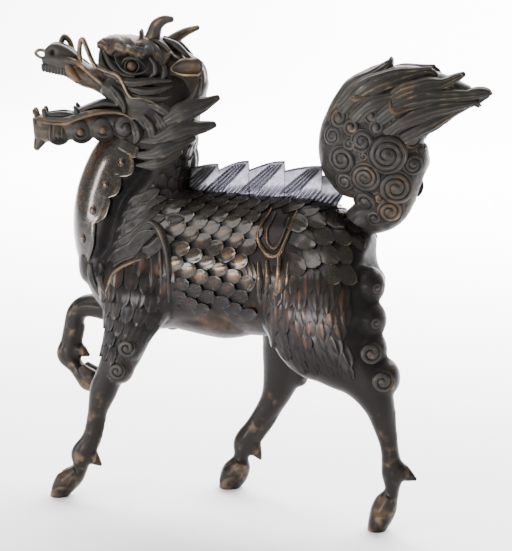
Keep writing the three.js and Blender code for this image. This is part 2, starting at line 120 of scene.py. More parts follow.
def netFaces(rows, columns, wrap=True):
    # the quads of a net, each from four neighbours; wrap joins the last column to the first
    row = np.arange(rows - 1)[:, None]
    column = np.arange(columns if wrap else columns - 1)[None, :]
    a = row * columns + column
    b = row * columns + (column + 1) % columns
    return np.stack([a, b, b + columns, a + columns], -1).reshape(-1, 4)


def closedNet(rings, start, end, relief=0.5, tone=0.5):
    # a net of rings that closes on itself, with a fan from a pole at each end
    rows, columns = rings.shape[:2]
    around = np.arange(columns)
    after = (around + 1) % columns
    base, count = (rows - 1) * columns, rows * columns
    startFan = np.stack([after, around, np.full(columns, count)], -1)
    endFan = np.stack([base + around, base + after, np.full(columns, count + 1)], -1)
    points = np.vstack([rings.reshape(-1, 3), start, end])
    relief = np.broadcast_to(relief, (rows, columns))
    relief = np.concatenate([relief.ravel(), [relief[0].mean(), relief[-1].mean()]])
    return part(points, [netFaces(rows, columns), startFan, endFan], relief, tone)


def mirrored(made):
    # the same part on the beast's other side: y becomes -y
    return part(made["points"] * [1, -1, 1], made["faces"], made["relief"], made["tone"])


def joined(parts):
    # several parts as one: points end to end, faces counted on from those before
    offset, faces = 0, []
    for made in parts:
        faces += [f + offset for f in made["faces"]]
        offset += len(made["points"])
    stack = lambda key: np.concatenate([made[key] for made in parts])
    return {"points": stack("points"), "faces": faces, "relief": stack("relief"), "tone": stack("tone")}


def meshOf(name, parts):
    # one mesh of all the parts, with relief and tone kept at the points
    whole = joined(parts)
    mesh = bpy.data.meshes.new(name)
    sizes = np.concatenate([np.full(len(f), f.shape[1]) for f in whole["faces"]])
    corners = np.concatenate([f.ravel() for f in whole["faces"]])
    mesh.vertices.add(len(whole["points"]))
    mesh.vertices.foreach_set("co", whole["points"].astype(np.float32).ravel())
    mesh.loops.add(len(corners))
    mesh.loops.foreach_set("vertex_index", corners.astype(np.int32))
    mesh.polygons.add(len(sizes))
    mesh.polygons.foreach_set("loop_start", np.concatenate([[0], np.cumsum(sizes)[:-1]]).astype(np.int32))
    mesh.polygons.foreach_set("loop_total", sizes.astype(np.int32))
    for key in ("relief", "tone"):
        mesh.attributes.new(key, "FLOAT", "POINT").data.foreach_set("value", whole[key].astype(np.float32))
    mesh.update(calc_edges=True)
    mesh.polygons.foreach_set("use_smooth", np.ones(len(sizes), bool))
    return mesh


def addPiece(name, parts, material, sharp=42):
    # a piece that rides on the root; edges over the sharp angle stay crisp
    mesh = meshOf(name, parts)
    mesh.set_sharp_from_angle(angle=math.radians(sharp))
    mesh.materials.append(material)
    piece = bpy.data.objects.new(name, mesh)
    bpy.context.scene.collection.objects.link(piece)
    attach(piece, "root")
    print(f"{name}: {len(mesh.polygons)} faces")
    return piece


# A limb is its stations [x, y, z, depth, width] in shares, and the direction across it. Depth is
# its half width in the plane of the beast's side and width its half width across that plane.
def limbOf(stations, across=acrossBody):
    return {"stations": stations, "across": across}


def limbAt(limb, places):
    # centre, direction, two sides, depth and width at places from 0 to 1 along the limb:
    # the direction is the spline's slope, and the first side is across made square to it
    values = splineThrough(limb["stations"], places)
    step = 1e-3
    before, after = np.clip(places - step, 0, 1), np.clip(places + step, 0, 1)
    along = splineThrough(limb["stations"], after) - splineThrough(limb["stations"], before)
    along = unit(along[:, :3])
    side = unit(limb["across"] - along * (along @ limb["across"])[:, None])
    depth, width = values[:, 3] * share, values[:, 4] * share
    return toMetres(values[:, :3]), along, side, np.cross(along, side), depth, width


def skinAt(limb, places, angles):
    # centre + front depth cos(angle) + side width sin(angle)
    shape = np.broadcast(places, angles).shape
    places, angles = (np.broadcast_to(v, shape).ravel() for v in (places, angles))
    centre, _, side, front, depth, width = limbAt(limb, places)
    points = centre + front * (depth * np.cos(angles))[:, None] + side * (width * np.sin(angles))[:, None]
    return points.reshape(*shape, 3)


def skinFrame(limb, places, angles):
    # the skin's point, its outward normal, and its steps for a unit of place and of angle
    e = 2e-3
    places = np.clip(places, 0.004, 0.996)
    down = (skinAt(limb, places + e, angles) - skinAt(limb, places - e, angles)) / (2 * e)
    around = (skinAt(limb, places, angles + e) - skinAt(limb, places, angles - e)) / (2 * e)
    return skinAt(limb, places, angles), unit(np.cross(down, around)), down, around


roundEnd = np.radians([22, 45, 67])


def tube(centres, out, wide, high, sides=16, caps=(0.5, 0.5), grooves=0, grooveDepth=0.14, relief=0.5,
         tone=0.5):
    # centre + e1 wide cos(angle) + e2 high sin(angle), where e2 is out and e1 lies across the line.
    # Grooves make both radii (1 - depth (0.5 - 0.5 cos(n angle))), and the ends are rounded off.
    along = unit(np.gradient(centres, axis=0))
    flat = unit(np.cross(along, out))
    up = np.cross(flat, along)
    sine, cosine = np.sin(roundEnd), np.cos(roundEnd)
    reach = np.concatenate([
        -caps[0] * (wide[0] + high[0]) / 2 * sine[::-1],
        np.zeros(len(centres)),
        caps[1] * (wide[-1] + high[-1]) / 2 * sine,
    ])
    pick = np.concatenate([np.zeros(3, int), np.arange(len(centres)), np.full(3, len(centres) - 1)])
    shrink = np.concatenate([cosine[::-1], np.ones(len(centres)), cosine])
    centre = centres[pick] + along[pick] * reach[:, None]
    angle = np.arange(sides) / sides * 2 * np.pi
    wave = 0.5 - 0.5 * np.cos(grooves * angle)
    radius = shrink[:, None] * (1 - grooveDepth * wave)
    rings = (
        centre[:, None]
        + flat[pick][:, None] * (wide[pick][:, None] * radius * np.cos(angle))[..., None]
        + up[pick][:, None] * (high[pick][:, None] * radius * np.sin(angle))[..., None]
    )
    start = centres[0] - along[0] * caps[0] * (wide[0] + high[0]) / 2
    end = centres[-1] + along[-1] * caps[1] * (wide[-1] + high[-1]) / 2
    # grooves get lower relief, so painted shade darkens them, and the ridges between get more, so they wear
    # lighter
    reliefs = np.clip(relief + (0.22 - 0.5 * wave if grooves else 0), 0, 1)
    return closedNet(rings, start, end, np.broadcast_to(reliefs, rings.shape[:2]), tone)


def sweptLimb(limb, rings=70, sides=48, caps=(0.5, 0.5)):
    # the limb's spline carried as a tube of oval rings
    centre, _, side, _, depth, width = limbAt(limb, np.linspace(0, 1, rings))
    return tube(centre, side, depth, width, sides, caps)


def swell(u, root, tip, fullest):
    # grows from the root to 1 at the fullest place, then falls to the tip with a power of 1.5
    growing = root + (1 - root) * u / fullest
    falling = 1 - (1 - tip) * np.clip((u - fullest) / (1 - fullest), 0, 1) ** 1.5
    return np.where(u < fullest, growing, falling)


def strand(line, half, thin, across=acrossBody, rings=26, root=0.75, tip=0.25, fullest=0.35,
           caps=(0.3, 0.9), wave=0.0, phase=0, **more):
    # a lock along a line, whose width may waver by a sine
    u = np.linspace(0, 1, rings)
    centres = toMetres(splineThrough(line, u))
    along = unit(np.gradient(centres, axis=0))
    side = unit(across - along * (along @ across)[:, None])
    size = swell(u, root, tip, fullest) * share
    waver = 1 + wave * np.sin(17 * u + 2.1 * phase)
    return tube(centres, side, half * size * waver, thin * size, caps=caps, **more)


def headStrand(line, half, thin, **more):
    # a strand whose line is given ahead, right and up from the head's pivot
    return strand(headPlaces(line), half, thin, across=acrossHead, **more)


def onHead(line, side):
    # ahead, out and up, with out turned to one side
    return [[ahead, side * out, up] for ahead, out, up in line]


def headPair(line, half, thin=None, **more):
    # the same lock on both sides of the head, round where no thickness is given
    return [headStrand(onHead(line, side), half, thin or half, **more) for side in (near, far)]


def ball(centre, radius, squash=(1, 1, 1), relief=0.6, tone=0.5, rows=12, columns=20):
    # centre + radius (sin v cos u, sin v sin u, cos v)
    v = np.linspace(0, np.pi, rows + 2)[1:-1, None]
    u = np.arange(columns)[None, :] / columns * 2 * np.pi
    unitRings = np.stack([np.sin(v) * np.cos(u), np.sin(v) * np.sin(u), np.cos(v) + 0 * u], -1)
    size = radius * np.asarray(squash, float)
    up = size * [0, 0, 1]
    return closedNet(centre + unitRings * size, centre + up, centre - up, relief, tone)


def hoop(centre, normal, radius, wire, stretch=1.0, relief=0.75, tone=0.5, columns=28, sides=8):
    # a ring: the wire's circle carried round the normal
    normal = unit(np.asarray(normal, float))
    first = unit(np.cross(normal, [0, 0, 1.0]))
    second = np.cross(normal, first)
    u = (np.arange(columns) / columns * 2 * np.pi)[:, None, None]
    v = (np.arange(sides) / sides * 2 * np.pi)[None, :, None]
    spoke = first * np.cos(u) * stretch + second * np.sin(u)
    points = centre + spoke * (radius + wire * np.cos(v)) + normal * wire * np.sin(v)
    return part(points, [netFaces(columns + 1, sides) % (columns * sides)], relief, tone)


def edgesOf(quads):
    # every edge of every quad once, as pairs of points
    pairs = np.vstack([quads[:, [k, (k + 1) % 4]] for k in range(4)])
    return np.unique(np.sort(pairs, axis=1), axis=0)


def relaxed(points, edges, times, strength=0.5):
    # each point moves part of the way to the mean of its neighbours
    both = np.vstack([edges, edges[:, ::-1]])
    count = np.bincount(both[:, 0], minlength=len(points))[:, None]
    for _ in range(times):
        total = [np.bincount(both[:, 0], points[both[:, 1], k], len(points)) for k in range(3)]
        points = points + strength * (np.stack(total, -1) / count - points)
    return points


def normalsOf(points, quads):
    # the cross product of each quad's diagonals, summed at its points, over its length
    across = np.cross(points[quads[:, 2]] - points[quads[:, 0]], points[quads[:, 3]] - points[quads[:, 1]])
    total = [np.bincount(quads.ravel(), np.repeat(across[:, k], 4), len(points)) for k in range(3)]
    return unit(np.stack(total, -1))


def remeshed(parts, voxel, smoothing=3, carve=None, hollowing=14, depth=0.0007):
    # the outer skin of all parts together, eased where they meet. Its relief is how far each
    # point stands out of the skin once that is smoothed much more.
    holder = bpy.data.objects.new("holder", meshOf("holder", parts))
    bpy.context.scene.collection.objects.link(holder)
    whole = holder.modifiers.new("whole", "REMESH")
    whole.mode, whole.voxel_size = "VOXEL", voxel
    mesh = holder.evaluated_get(bpy.context.evaluated_depsgraph_get()).to_mesh()
    points = np.zeros(len(mesh.vertices) * 3)
    mesh.vertices.foreach_get("co", points)
    quads = np.zeros(len(mesh.loops), int)
    mesh.loops.foreach_get("vertex_index", quads)
    bpy.data.objects.remove(holder)
    points, quads = points.reshape(-1, 3), quads.reshape(-1, 4)
    label = np.arange(len(points))  # the smallest index that each point is joined to
    edges = edgesOf(quads)
    while True:
        lowest = label.copy()
        np.minimum.at(lowest, edges[:, 0], label[edges[:, 1]])
        np.minimum.at(lowest, edges[:, 1], lowest[edges[:, 0]])
        lowest = lowest[lowest]
        if np.array_equal(lowest, label):
            break
        label = lowest
    main = label == np.bincount(label).argmax()  # sealed hollows and crumbs are left out
    index = np.cumsum(main) - 1
    points, quads = points[main], index[quads[main[quads[:, 0]]]]
    edges = edgesOf(quads)
    points = relaxed(points, edges, smoothing)
    if carve:
        normals = normalsOf(points, quads)
        points = points + normals * carve(points, normals)[:, None]
    normals = normalsOf(points, quads)
    # low relief later turns the colour dark as painted shade in the skin's hollows
    stands = np.einsum("ij,ij->i", points - relaxed(points, edges, hollowing), normals)
    return part(points, [quads], np.clip(0.5 + 0.5 * stands / depth, 0, 1))


def surfaceOf(*parts):
    # the parts as one surface that rays can be thrown at
    whole = joined(parts)
    faces = [face for block in whole["faces"] for face in block.tolist()]
    return BVHTree.FromPolygons(whole["points"].tolist(), faces)


def beside(places, side):
    # [x, z] places, far out on the given side, in metres
    return toMetres(np.insert(np.asarray(places, float), 1, side * 25, axis=1))


def thrownOn(surface, places, side):
    # where [x, z] places land when they are thrown sideways: (point, normal, face, distance) of each
    return [surface.ray_cast(Vector(start), Vector((0, -side, 0))) for start in beside(places, side)]


def sideStrand(surface, line, side, half, thin, sink=0.25, rings=26, root=0.75, tip=0.25, fullest=0.35,
               caps=(0.3, 0.9), **more):
    # a lock that lies on the beast's side along a smooth line of [x, z] places
    hits = thrownOn(surface, splineThrough(line, np.linspace(0, 1, rings)), side)
    centres, normals = (np.array([hit[k] for hit in hits if hit[0] is not None]) for k in (0, 1))
    u = np.linspace(0, 1, len(centres))
    size = swell(u, root, tip, fullest) * share
    for _ in range(3):
        normals[1:-1] = (normals[:-2] + normals[1:-1] + normals[2:]) / 3
    normals = unit(normals)
    lifted = centres + normals * (thin * size * (1 - 2 * sink))[:, None] * 0.5
    return tube(lifted, normals, half * size, thin * size, caps=caps, **more)


def curl(point, out, down, radius, turns=2.7, high=0.42, spin=1, columns=34, tone=0.5, ridge=0.3):
    # a dome, high sqrt(1 - r^2), with a groove along the spiral turns r - u / 2 pi = whole number,
    # a knob in its middle and a skirt that sinks into what it lies on
    r = np.concatenate([np.linspace(0.07, 1, max(12, round(6 * turns))), [1.02, 0.9]])[:, None]
    u = (np.arange(columns) / columns * 2 * np.pi)[None, :]
    phase = turns * r - spin * u / (2 * np.pi)
    fromGroove = np.abs(phase - np.round(phase))
    inside = smoothStep(r, 0.12, 0.3) * (1 - smoothStep(r, 0.93, 1))
    groove = np.exp(-((fromGroove / 0.14) ** 2)) * inside
    crest = smoothStep(fromGroove, 0.3, 0.5) * inside
    height = high * np.sqrt(1 - np.minimum(r, 0.995) ** 2) + 0.1 * bump(r, 0, 0.2) + 0 * u
    height = height - 0.2 / max(turns, 1.5) * groove
    height[-2], height[-1] = -0.22, -0.6
    out, down = unit(np.asarray(out, float)), np.asarray(down, float)
    first = unit(down - out * (down @ out))
    second = np.cross(out, first)
    points = point + radius * (
        (r * np.cos(u))[..., None] * first + (r * np.sin(u))[..., None] * second + height[..., None] * out
    )
    # the groove and the sinking skirt get low relief as painted shade, the crest more as wear
    relief = 0.42 + 0.2 * bump(r, 0, 0.2) + ridge * crest - 0.34 * groove - 0.4 * smoothStep(r, 0.95, 1.02)
    relief = np.clip(relief + 0 * u, 0, 1)
    top = point + radius * (high + 0.1) * out
    return closedNet(points, top, point - radius * 0.6 * out, relief, tone)


def rimOf(rows, columns):
    # the places of a net's rim, once around
    return np.concatenate([
        np.arange(columns),
        columns * np.arange(1, rows) + columns - 1,
        (rows - 1) * columns + np.arange(columns - 2, -1, -1),
        columns * np.arange(rows - 2, 0, -1),
    ])


def slab(top, under, relief, tone):
    # a closed plate: its top net, its under net turned over, and a wall around the rim
    rows, columns = top.shape[:2]
    grid, rim = rows * columns, rimOf(rows, columns)
    wall = np.stack([rim, rim + grid, np.roll(rim, -1) + grid, np.roll(rim, -1)], -1)
    net = netFaces(rows, columns, False)
    spread = lambda value: np.broadcast_to(np.asarray(value, float), (rows, columns)).ravel()
    return part(
        np.concatenate([top.reshape(-1, 3), under.reshape(-1, 3)]),
        [net, wall[:, ::-1], net[:, ::-1] + grid],
        # the under net gets low relief: painted shade under each plate
        np.concatenate([spread(relief), np.full(grid, 0.1)]),
        np.concatenate([spread(tone), spread(tone)]),
    )


def leafWidth(u, root, fullest, blunt=0.0):
    # grows as a sine from the root to 1, then falls as a cosine to nothing at the tip, or as
    # sqrt(1 - s^3) where the tip is blunt
    growing = root + (1 - root) * np.sin(np.pi / 2 * np.clip(u / fullest, 0, 1))
    s = np.clip((u - fullest) / (1 - fullest), 0, 1)
    pointed, rounded = np.cos(np.pi / 2 * s**1.5) ** 0.75, np.sqrt(1 - 0.97 * s**3)
    return np.where(u < fullest, growing, pointed + blunt * (rounded - pointed))


def plateOn(surface, line, side, half, rise, root=0.5, fullest=0.6, ribs=2, rows=36, columns=15,
            skirt=0.0022, tone=0.5, blunt=0.0):
    # a leaf on the beast's side along a line of [x, z] places. Its middle and both edges are thrown onto
    # the surface, and across it runs the parabola middle + v (b - a) / 2 + v^2 ((a + b) / 2 - middle).
    u = np.linspace(0, 0.985, rows)
    middle = splineThrough(line, u)
    along = unit(np.gradient(middle, axis=0))
    across = np.stack([-along[:, 1], along[:, 0]], 1) * (half * leafWidth(u, root, fullest, blunt))[:, None]
    thrown = []
    for edge in (-1, 0, 1):
        places = middle + edge * across
        hits = [hit[0] for hit in thrownOn(surface, places, side)]
        depth = np.array([np.nan if hit is None or hit[1] * side < 0 else hit[1] for hit in hits])
        known = ~np.isnan(depth)
        if not known.any():
            return None
        flat = beside(places, side)
        flat[:, 1] = np.interp(np.arange(rows), np.flatnonzero(known), depth[known])
        thrown.append(flat[:, None])
    v = np.linspace(-1, 1, columns)[None, :, None]
    base = thrown[1] + v * (thrown[2] - thrown[0]) / 2 + v**2 * ((thrown[0] + thrown[2]) / 2 - thrown[1])
    down, sideways = np.gradient(base, axis=(0, 1))
    normals = unit(np.cross(down, sideways) + 1e-9)
    normals = normals * np.sign(normals[..., 1:2] * side)
    v, u = v[..., 0], u[:, None]
    rim = smoothStep(np.abs(v), 0.62, 0.9) * (1 - smoothStep(np.abs(v), 0.94, 1.0) * 0.5)
    vein = np.cos(np.pi * ribs * v) ** 6 * (1 - rim) * smoothStep(u, 0.05, 0.3) if ribs else 0 * v
    height = (0.1 + 0.9 * u**0.9) * (1 - 0.25 * v**2) + (0.28 * rim + 0.16 * vein) * smoothStep(u, 0, 0.3)
    height = rise * (height - 1.3 * (1 - u) ** 6)
    # relief falls towards the root as painted shade where the leaf runs under its neighbours; the rim and
    # vein stand lighter as wear
    relief = (0.32 + 0.5 * rim * (0.5 + 0.5 * u) + 0.22 * vein) * (0.3 + 0.7 * smoothStep(u, 0.05, 0.45))
    tones = tone * bump(v, 0, 0.9) * bump(u, 0.62, 0.5)
    return slab(base + normals * height[..., None], base - normals * skirt, relief + 0 * u, tones)


# The net of one scale. Rim, vein and sink are shares of its rise, and the skirt is in metres.
scaleForm = {"rows": 10, "columns": 11, "rim": 0.42, "vein": 0.1, "sink": 1.3, "skirt": 0.0016}


def liftOf(limb, surface, rows=70, columns=80, reach=0.015):
    # how far the surface lies outside the limb's own skin, on a net of places and angles
    places = np.broadcast_to(np.linspace(0, 1, rows)[:, None], (rows, columns))
    angles = np.broadcast_to(np.linspace(-np.pi, np.pi, columns)[None, :], (rows, columns))
    points, normals, _, _ = skinFrame(limb, places, angles)
    pairs = zip((points + normals * reach).reshape(-1, 3), normals.reshape(-1, 3))
    found = [surface.ray_cast(Vector(start), Vector(-normal), 2 * reach)[3] for start, normal in pairs]
    lift = reach - np.array([reach if away is None else away for away in found]).reshape(rows, columns)
    for _ in range(2):
        lift[1:-1] = (lift[:-2] + 2 * lift[1:-1] + lift[2:]) / 4
        lift[:, 1:-1] = (lift[:, :-2] + 2 * lift[:, 1:-1] + lift[:, 2:]) / 4
    return lift


def liftAt(lift, places, angles):
    # the four values around a place and angle, each weighted by how near it is
    rows, columns = lift.shape
    row = np.clip(places, 0, 1) * (rows - 1)
    column = ((angles + np.pi) % (2 * np.pi)) / (2 * np.pi) * (columns - 1)
    i, j = np.minimum(row.astype(int), rows - 2), np.minimum(column.astype(int), columns - 2)
    a, b = row - i, column - j
    return ((1 - a) * (1 - b) * lift[i, j] + a * (1 - b) * lift[i + 1, j]
            + (1 - a) * b * lift[i, j + 1] + a * b * lift[i + 1, j + 1])


def scalesOn(limb, places, angles, length, width, rise, tilt, veins, tone, shade):
    # a scale at each place and angle: u runs from its root to its tip and v across it, its edge is a
    # blunt leaf's, and it rises with u to a rim and its veins
    rows, columns = scaleForm["rows"], scaleForm["columns"]
    u = np.linspace(0, 0.985, rows)[:, None] ** 0.85
    v = np.linspace(-1, 1, columns)[None, :]
    half = leafWidth(u, 0.75, 0.5, 0.75)
    edge = np.maximum(smoothStep(np.abs(v), 0.6, 0.92) + 0 * u, smoothStep(u, 0.84, 1) + 0 * v)
    vein = np.cos(np.pi * veins * v) ** 4 * (1 - edge) * smoothStep(u, 0.15, 0.5)
    height = rise * (u * (1 - 0.4 * v**2) + scaleForm["rim"] * edge * u + scaleForm["vein"] * vein)
    height = height + rise * (0.2 - scaleForm["sink"] * (1 - u) ** 9)
    # relief is low at the root: painted shade under the tips of the scales before it; the rim and veins are
    # lighter as wear
    relief = np.clip(0.04 + 0.4 * smoothStep(u, 0.2, 0.62) + 0.45 * edge * u**1.5 + 0.08 * vein * u, 0, 1)
    count = len(places)
    size = lambda value: np.broadcast_to(np.asarray(value, float), count)[:, None, None]
    length, width, tilt = size(length), size(width), size(tilt)
    _, _, down, around = skinFrame(limb, places, angles)
    perPlace = np.linalg.norm(down, axis=-1)[:, None, None]
    perAngle = np.linalg.norm(around, axis=-1)[:, None, None]
    s, q = (u - 0.5) * length + 0 * v, v * half * width / 2
    place = places[:, None, None] + (s * np.cos(tilt) - q * np.sin(tilt)) / perPlace
    angle = angles[:, None, None] + (s * np.sin(tilt) + q * np.cos(tilt)) / perAngle
    points, normals, _, _ = skinFrame(limb, place, angle)
    points = points + normals * liftAt(limb["lift"], place, angle)[..., None]
    top = points + normals * height[None, ..., None]
    rim = rimOf(rows, columns)
    flat = lambda values: values.reshape(count, rows * columns, 3)
    skirt = flat(points)[:, rim] - flat(normals)[:, rim] * scaleForm["skirt"]
    every = np.concatenate([flat(top), skirt], 1)
    perScale, grid = every.shape[1], rows * columns
    lower = grid + np.arange(len(rim))
    wall = np.stack([rim, lower, np.roll(lower, -1), np.roll(rim, -1)], -1)
    offset = (np.arange(count) * perScale)[:, None, None]
    spread = lambda faces: (faces[None] + offset).reshape(-1, faces.shape[1])
    faces = [spread(netFaces(rows, columns, False)), spread(wall[:, ::-1]), spread(lower[None, ::-1])]
    middle = bump(v, 0, 0.8) * bump(u, 0.62, 0.4)
    # the skirt gets relief 0.1: painted shade under the scale's edge
    onAll = lambda top, below, factor: np.outer(factor, np.append(top, np.full(len(rim), below)))
    return part(every, faces, onAll(relief, 0.1, shade), onAll(middle, 0, tone))


def scaleLattice(limb, start, end, low, high, stepAlong, stepAcross, tilt=0.0):
    # lines of scales turned by the tilt, every second line shifted by half a step, over a patch of
    # the limb: along = a cos(tilt) - b sin(tilt), around = a sin(tilt) + b cos(tilt). The way along
    # is measured on the skin, and the fourth value is the girth at each scale over its mean.
    track = np.linspace(start, end, 120)
    _, _, down, around = skinFrame(limb, track, np.full(120, (low + high) / 2))
    ground = np.concatenate([[0], np.cumsum(np.linalg.norm(down, axis=1)[:-1] * np.diff(track))])
    girth = np.linalg.norm(around, axis=1)
    perAngle = girth.mean()
    length, breadth = ground[-1], (high - low) * perAngle
    reach = math.hypot(length, breadth) / 2
    lines = np.arange(-math.ceil(reach / stepAcross), math.ceil(reach / stepAcross) + 1)
    steps = np.arange(-math.ceil(reach / stepAlong), math.ceil(reach / stepAlong) + 1)
    b, a = np.meshgrid(lines, steps, indexing="ij")
    a = (a + 0.5 * (b % 2)) * stepAlong
    b = b * stepAcross
    way = length / 2 + a * math.cos(tilt) - b * math.sin(tilt)
    angle = (low + high) / 2 + (a * math.sin(tilt) + b * math.cos(tilt)) / perAngle
    kept = (way > 0) & (way < length) & (angle > low) & (angle < high)
    place = np.interp(way[kept], ground, track)
    return place, angle[kept], np.interp(place, track, girth / perAngle)


trunk = limbOf([
    [-35.2, -2.4, 50.9, 6, 5], [-31.6, -1.4, 50.2, 10.6, 8], [-25.5, -0.4, 49.4, 13.6, 9.6],
    [-17.5, 0, 50.6, 14.1, 10.4], [-8, 0, 50.5, 14.2, 10.6], [2, 0, 50.3, 14.1, 10.6],
    [10, 0, 50.8, 13.6, 10.4], [16.5, 0, 50.2, 12, 9.6], [21, 0, 48.5, 8.2, 8], [24, 0, 47.9, 3.4, 4],
])
neck = limbOf([
    [-24.4, -0.4, 46, 11, 7.5], [-26.9, -0.9, 54, 11.8, 7.8], [-26.6, -1, 61, 12, 7.4],
    [-25.1, -0.8, 68, 10.8, 6.8], [-22.6, -0.4, 74, 8.7, 6.2], [-20.2, 0.3, 80.5, 7.3, 6],
    [-20, 0.8, 87, 6.4, 5.4],
])
tail = limbOf([
    [15.5, 0, 57.8, 3.4, 3.6], [20.2, 0, 60.6, 3.2, 3.2], [24.8, 0, 64.4, 5.8, 4.6],
    [24.2, 0, 70.9, 10.2, 6.3], [23.2, 0, 76.8, 10.9, 7], [26.8, 0, 82.4, 9.4, 6.4],
    [31.4, 0, 85, 7.2, 5], [36.8, 0, 86.2, 4.6, 3.2], [41.6, 0, 86.8, 1.9, 1.6],
])
leftForeleg = limbOf([
    [-21.8, -4.6, 57, 6.6, 2.8], [-23, -6.6, 50, 8.6, 4.4], [-23.7, -7.4, 43.4, 7.8, 4.4],
    [-25.5, -7.6, 37, 5.2, 3.7], [-27.4, -7.6, 31.4, 4.1, 3], [-29.8, -7.6, 27, 3, 2.5],
    [-31.4, -7.6, 23.4, 2.9, 2.3], [-32.9, -7.5, 18.5, 2, 1.7], [-34.3, -7.5, 13.4, 1.85, 1.5],
    [-36.3, -7.5, 9.4, 2.5, 1.9], [-36.7, -7.5, 6.7, 1.6, 1.6], [-38.1, -7.5, 4.6, 2.1, 2.2],
    [-40.4, -7.5, 2.2, 2.2, 2.5], [-42.1, -7.5, -0.3, 1.7, 2.3],
])
rightForeleg = limbOf([
    [-21, 4.6, 56, 6.2, 2.8], [-22.6, 6.8, 49, 7.6, 4.4], [-25.4, 7.4, 42.6, 6.6, 4.4],
    [-30.4, 7.6, 38, 4.3, 3.3], [-35.8, 7.6, 37.4, 3, 2.5], [-40.4, 7.6, 37.5, 2.5, 2.2],
    [-43, 7.5, 35.9, 2.2, 2], [-43.9, 7.5, 32.6, 2.2, 1.9], [-44.8, 7.5, 29, 2.1, 1.8],
    [-45.4, 7.5, 26.3, 2.5, 2], [-43.6, 7.4, 24, 1.8, 1.7], [-42.2, 7.4, 22.5, 2, 1.9],
    [-40.5, 7.4, 21, 2.5, 2.3], [-38.8, 7.4, 19.7, 1.7, 1.9],
])
leftHindleg = limbOf([
    [15.8, -4.4, 56.2, 5.2, 3.6], [15.4, -6.2, 51, 9.8, 5], [14.9, -6.9, 45, 11.6, 5.2],
    [16.2, -7.3, 39.2, 11, 4.8], [20, -7.6, 35, 7.7, 4.2], [24, -7.8, 31, 5.1, 3.6],
    [26.8, -7.9, 26.2, 3.3, 2.9], [28.2, -7.9, 21.2, 2.2, 2.1], [29.2, -7.9, 17, 1.8, 1.75],
    [29.8, -7.8, 12, 2.2, 1.9], [29.8, -7.8, 8.4, 1.5, 1.5], [28.7, -7.8, 5.8, 2.4, 2.2],
    [27.8, -7.8, 3.2, 2.5, 2.6], [26.6, -7.8, -0.3, 1.8, 2.3],
])
rightHindleg = limbOf([
    [14.4, 4.4, 55.2, 5.4, 3.6], [12.6, 6.2, 50.4, 10, 5], [9.6, 7, 43.8, 10.8, 5.2],
    [6.4, 7.4, 37, 8.4, 4.6], [3.9, 7.8, 31, 5.8, 3.8], [2.5, 8, 25.6, 4.2, 3],
    [0.7, 8, 20.2, 2.9, 2.3], [-2.8, 7.9, 14.6, 2.2, 1.8], [-5.7, 7.8, 10.2, 2.4, 1.9],
    [-6.4, 7.8, 7.2, 1.6, 1.5], [-6.9, 7.8, 5, 2.6, 2.2], [-8.2, 7.8, 2.5, 2.9, 2.6],
    [-9.6, 7.8, -0.3, 1.9, 2.3],
])


def headLimb(stations):
    # a limb whose stations are ahead, right and up from the head's pivot
    stations = np.asarray(stations, float)
    return limbOf(np.hstack([headPlaces(stations[:, :3]), stations[:, 3:]]), acrossHead)


skull = headLimb([
    [-9.6, 0, 84.6, 4, 3.6], [-6.8, 0, 86, 6.5, 4.8], [-2.6, 0, 87, 7.3, 5.2], [1, 0, 87.2, 6.8, 4.8],
    [5, 0, 87.4, 5.8, 4.4], [8.2, 0, 87.6, 4.3, 4.1], [10.6, 0, 87.7, 2.7, 3.6], [12.8, 0, 88.1, 2.3, 3.2],
    [15.2, 0, 89.7, 2.4, 3], [17.6, 0, 91.2, 2.5, 3.1], [19.6, 0, 91.2, 1.8, 2.6],
    [20.6, 0, 90.9, 1.1, 1.9],
])
lowerJaw = headLimb([
    [-3.5, 0, 80.4, 3.6, 4.4], [2, 0, 79, 3, 4.2], [7.5, 0, 78.8, 3.1, 3.8], [12, 0, 78.3, 2.8, 3.4],
    [16.4, 0, 77.5, 2.5, 3.1], [20.2, 0, 77.1, 2.5, 2.8], [22.3, 0, 77.2, 2.4, 2.2],
])
tongue = headLimb([
    [0, 0, 81.6, 1.5, 2.5], [5, 0, 82.3, 1.4, 2.4], [9, 0, 82.5, 1, 2.1], [12.4, 0, 81.5, 0.8, 1.6],
    [15.6, 0, 80.2, 0.7, 1.4], [18.6, 0, 80.2, 0.5, 1],
])

patina = {
    # the recess colour is painted shade, mixed into hollows in place of ambient occlusion
    "recessShade": (0.0055, 0.0050, 0.0045, 1),
    "hide": (0.0255, 0.0220, 0.0175, 1),
    "olive": (0.0235, 0.0220, 0.0185, 1),
    "dark": (0.0088, 0.0068, 0.0053, 1),
    "worn": (0.215, 0.150, 0.082, 1),
    "gold": (0.092, 0.052, 0.024, 1),
    "russet": (0.046, 0.020, 0.0100, 1),
    "slate": (0.060, 0.058, 0.078, 1),
}


def node(tree, kind, feeds=None, **settings):
    # a shader node with its settings, and its sockets fed by links or by values
    made = tree.nodes.new("ShaderNode" + kind)
    for name, value in settings.items():  # a group's tree is set before its sockets are fed
        setattr(made, name, value)
    for socket, value in (feeds or {}).items():
        if isinstance(value, bpy.types.NodeSocket):
            tree.links.new(value, made.inputs[socket])
        else:
            made.inputs[socket].default_value = value
    return made


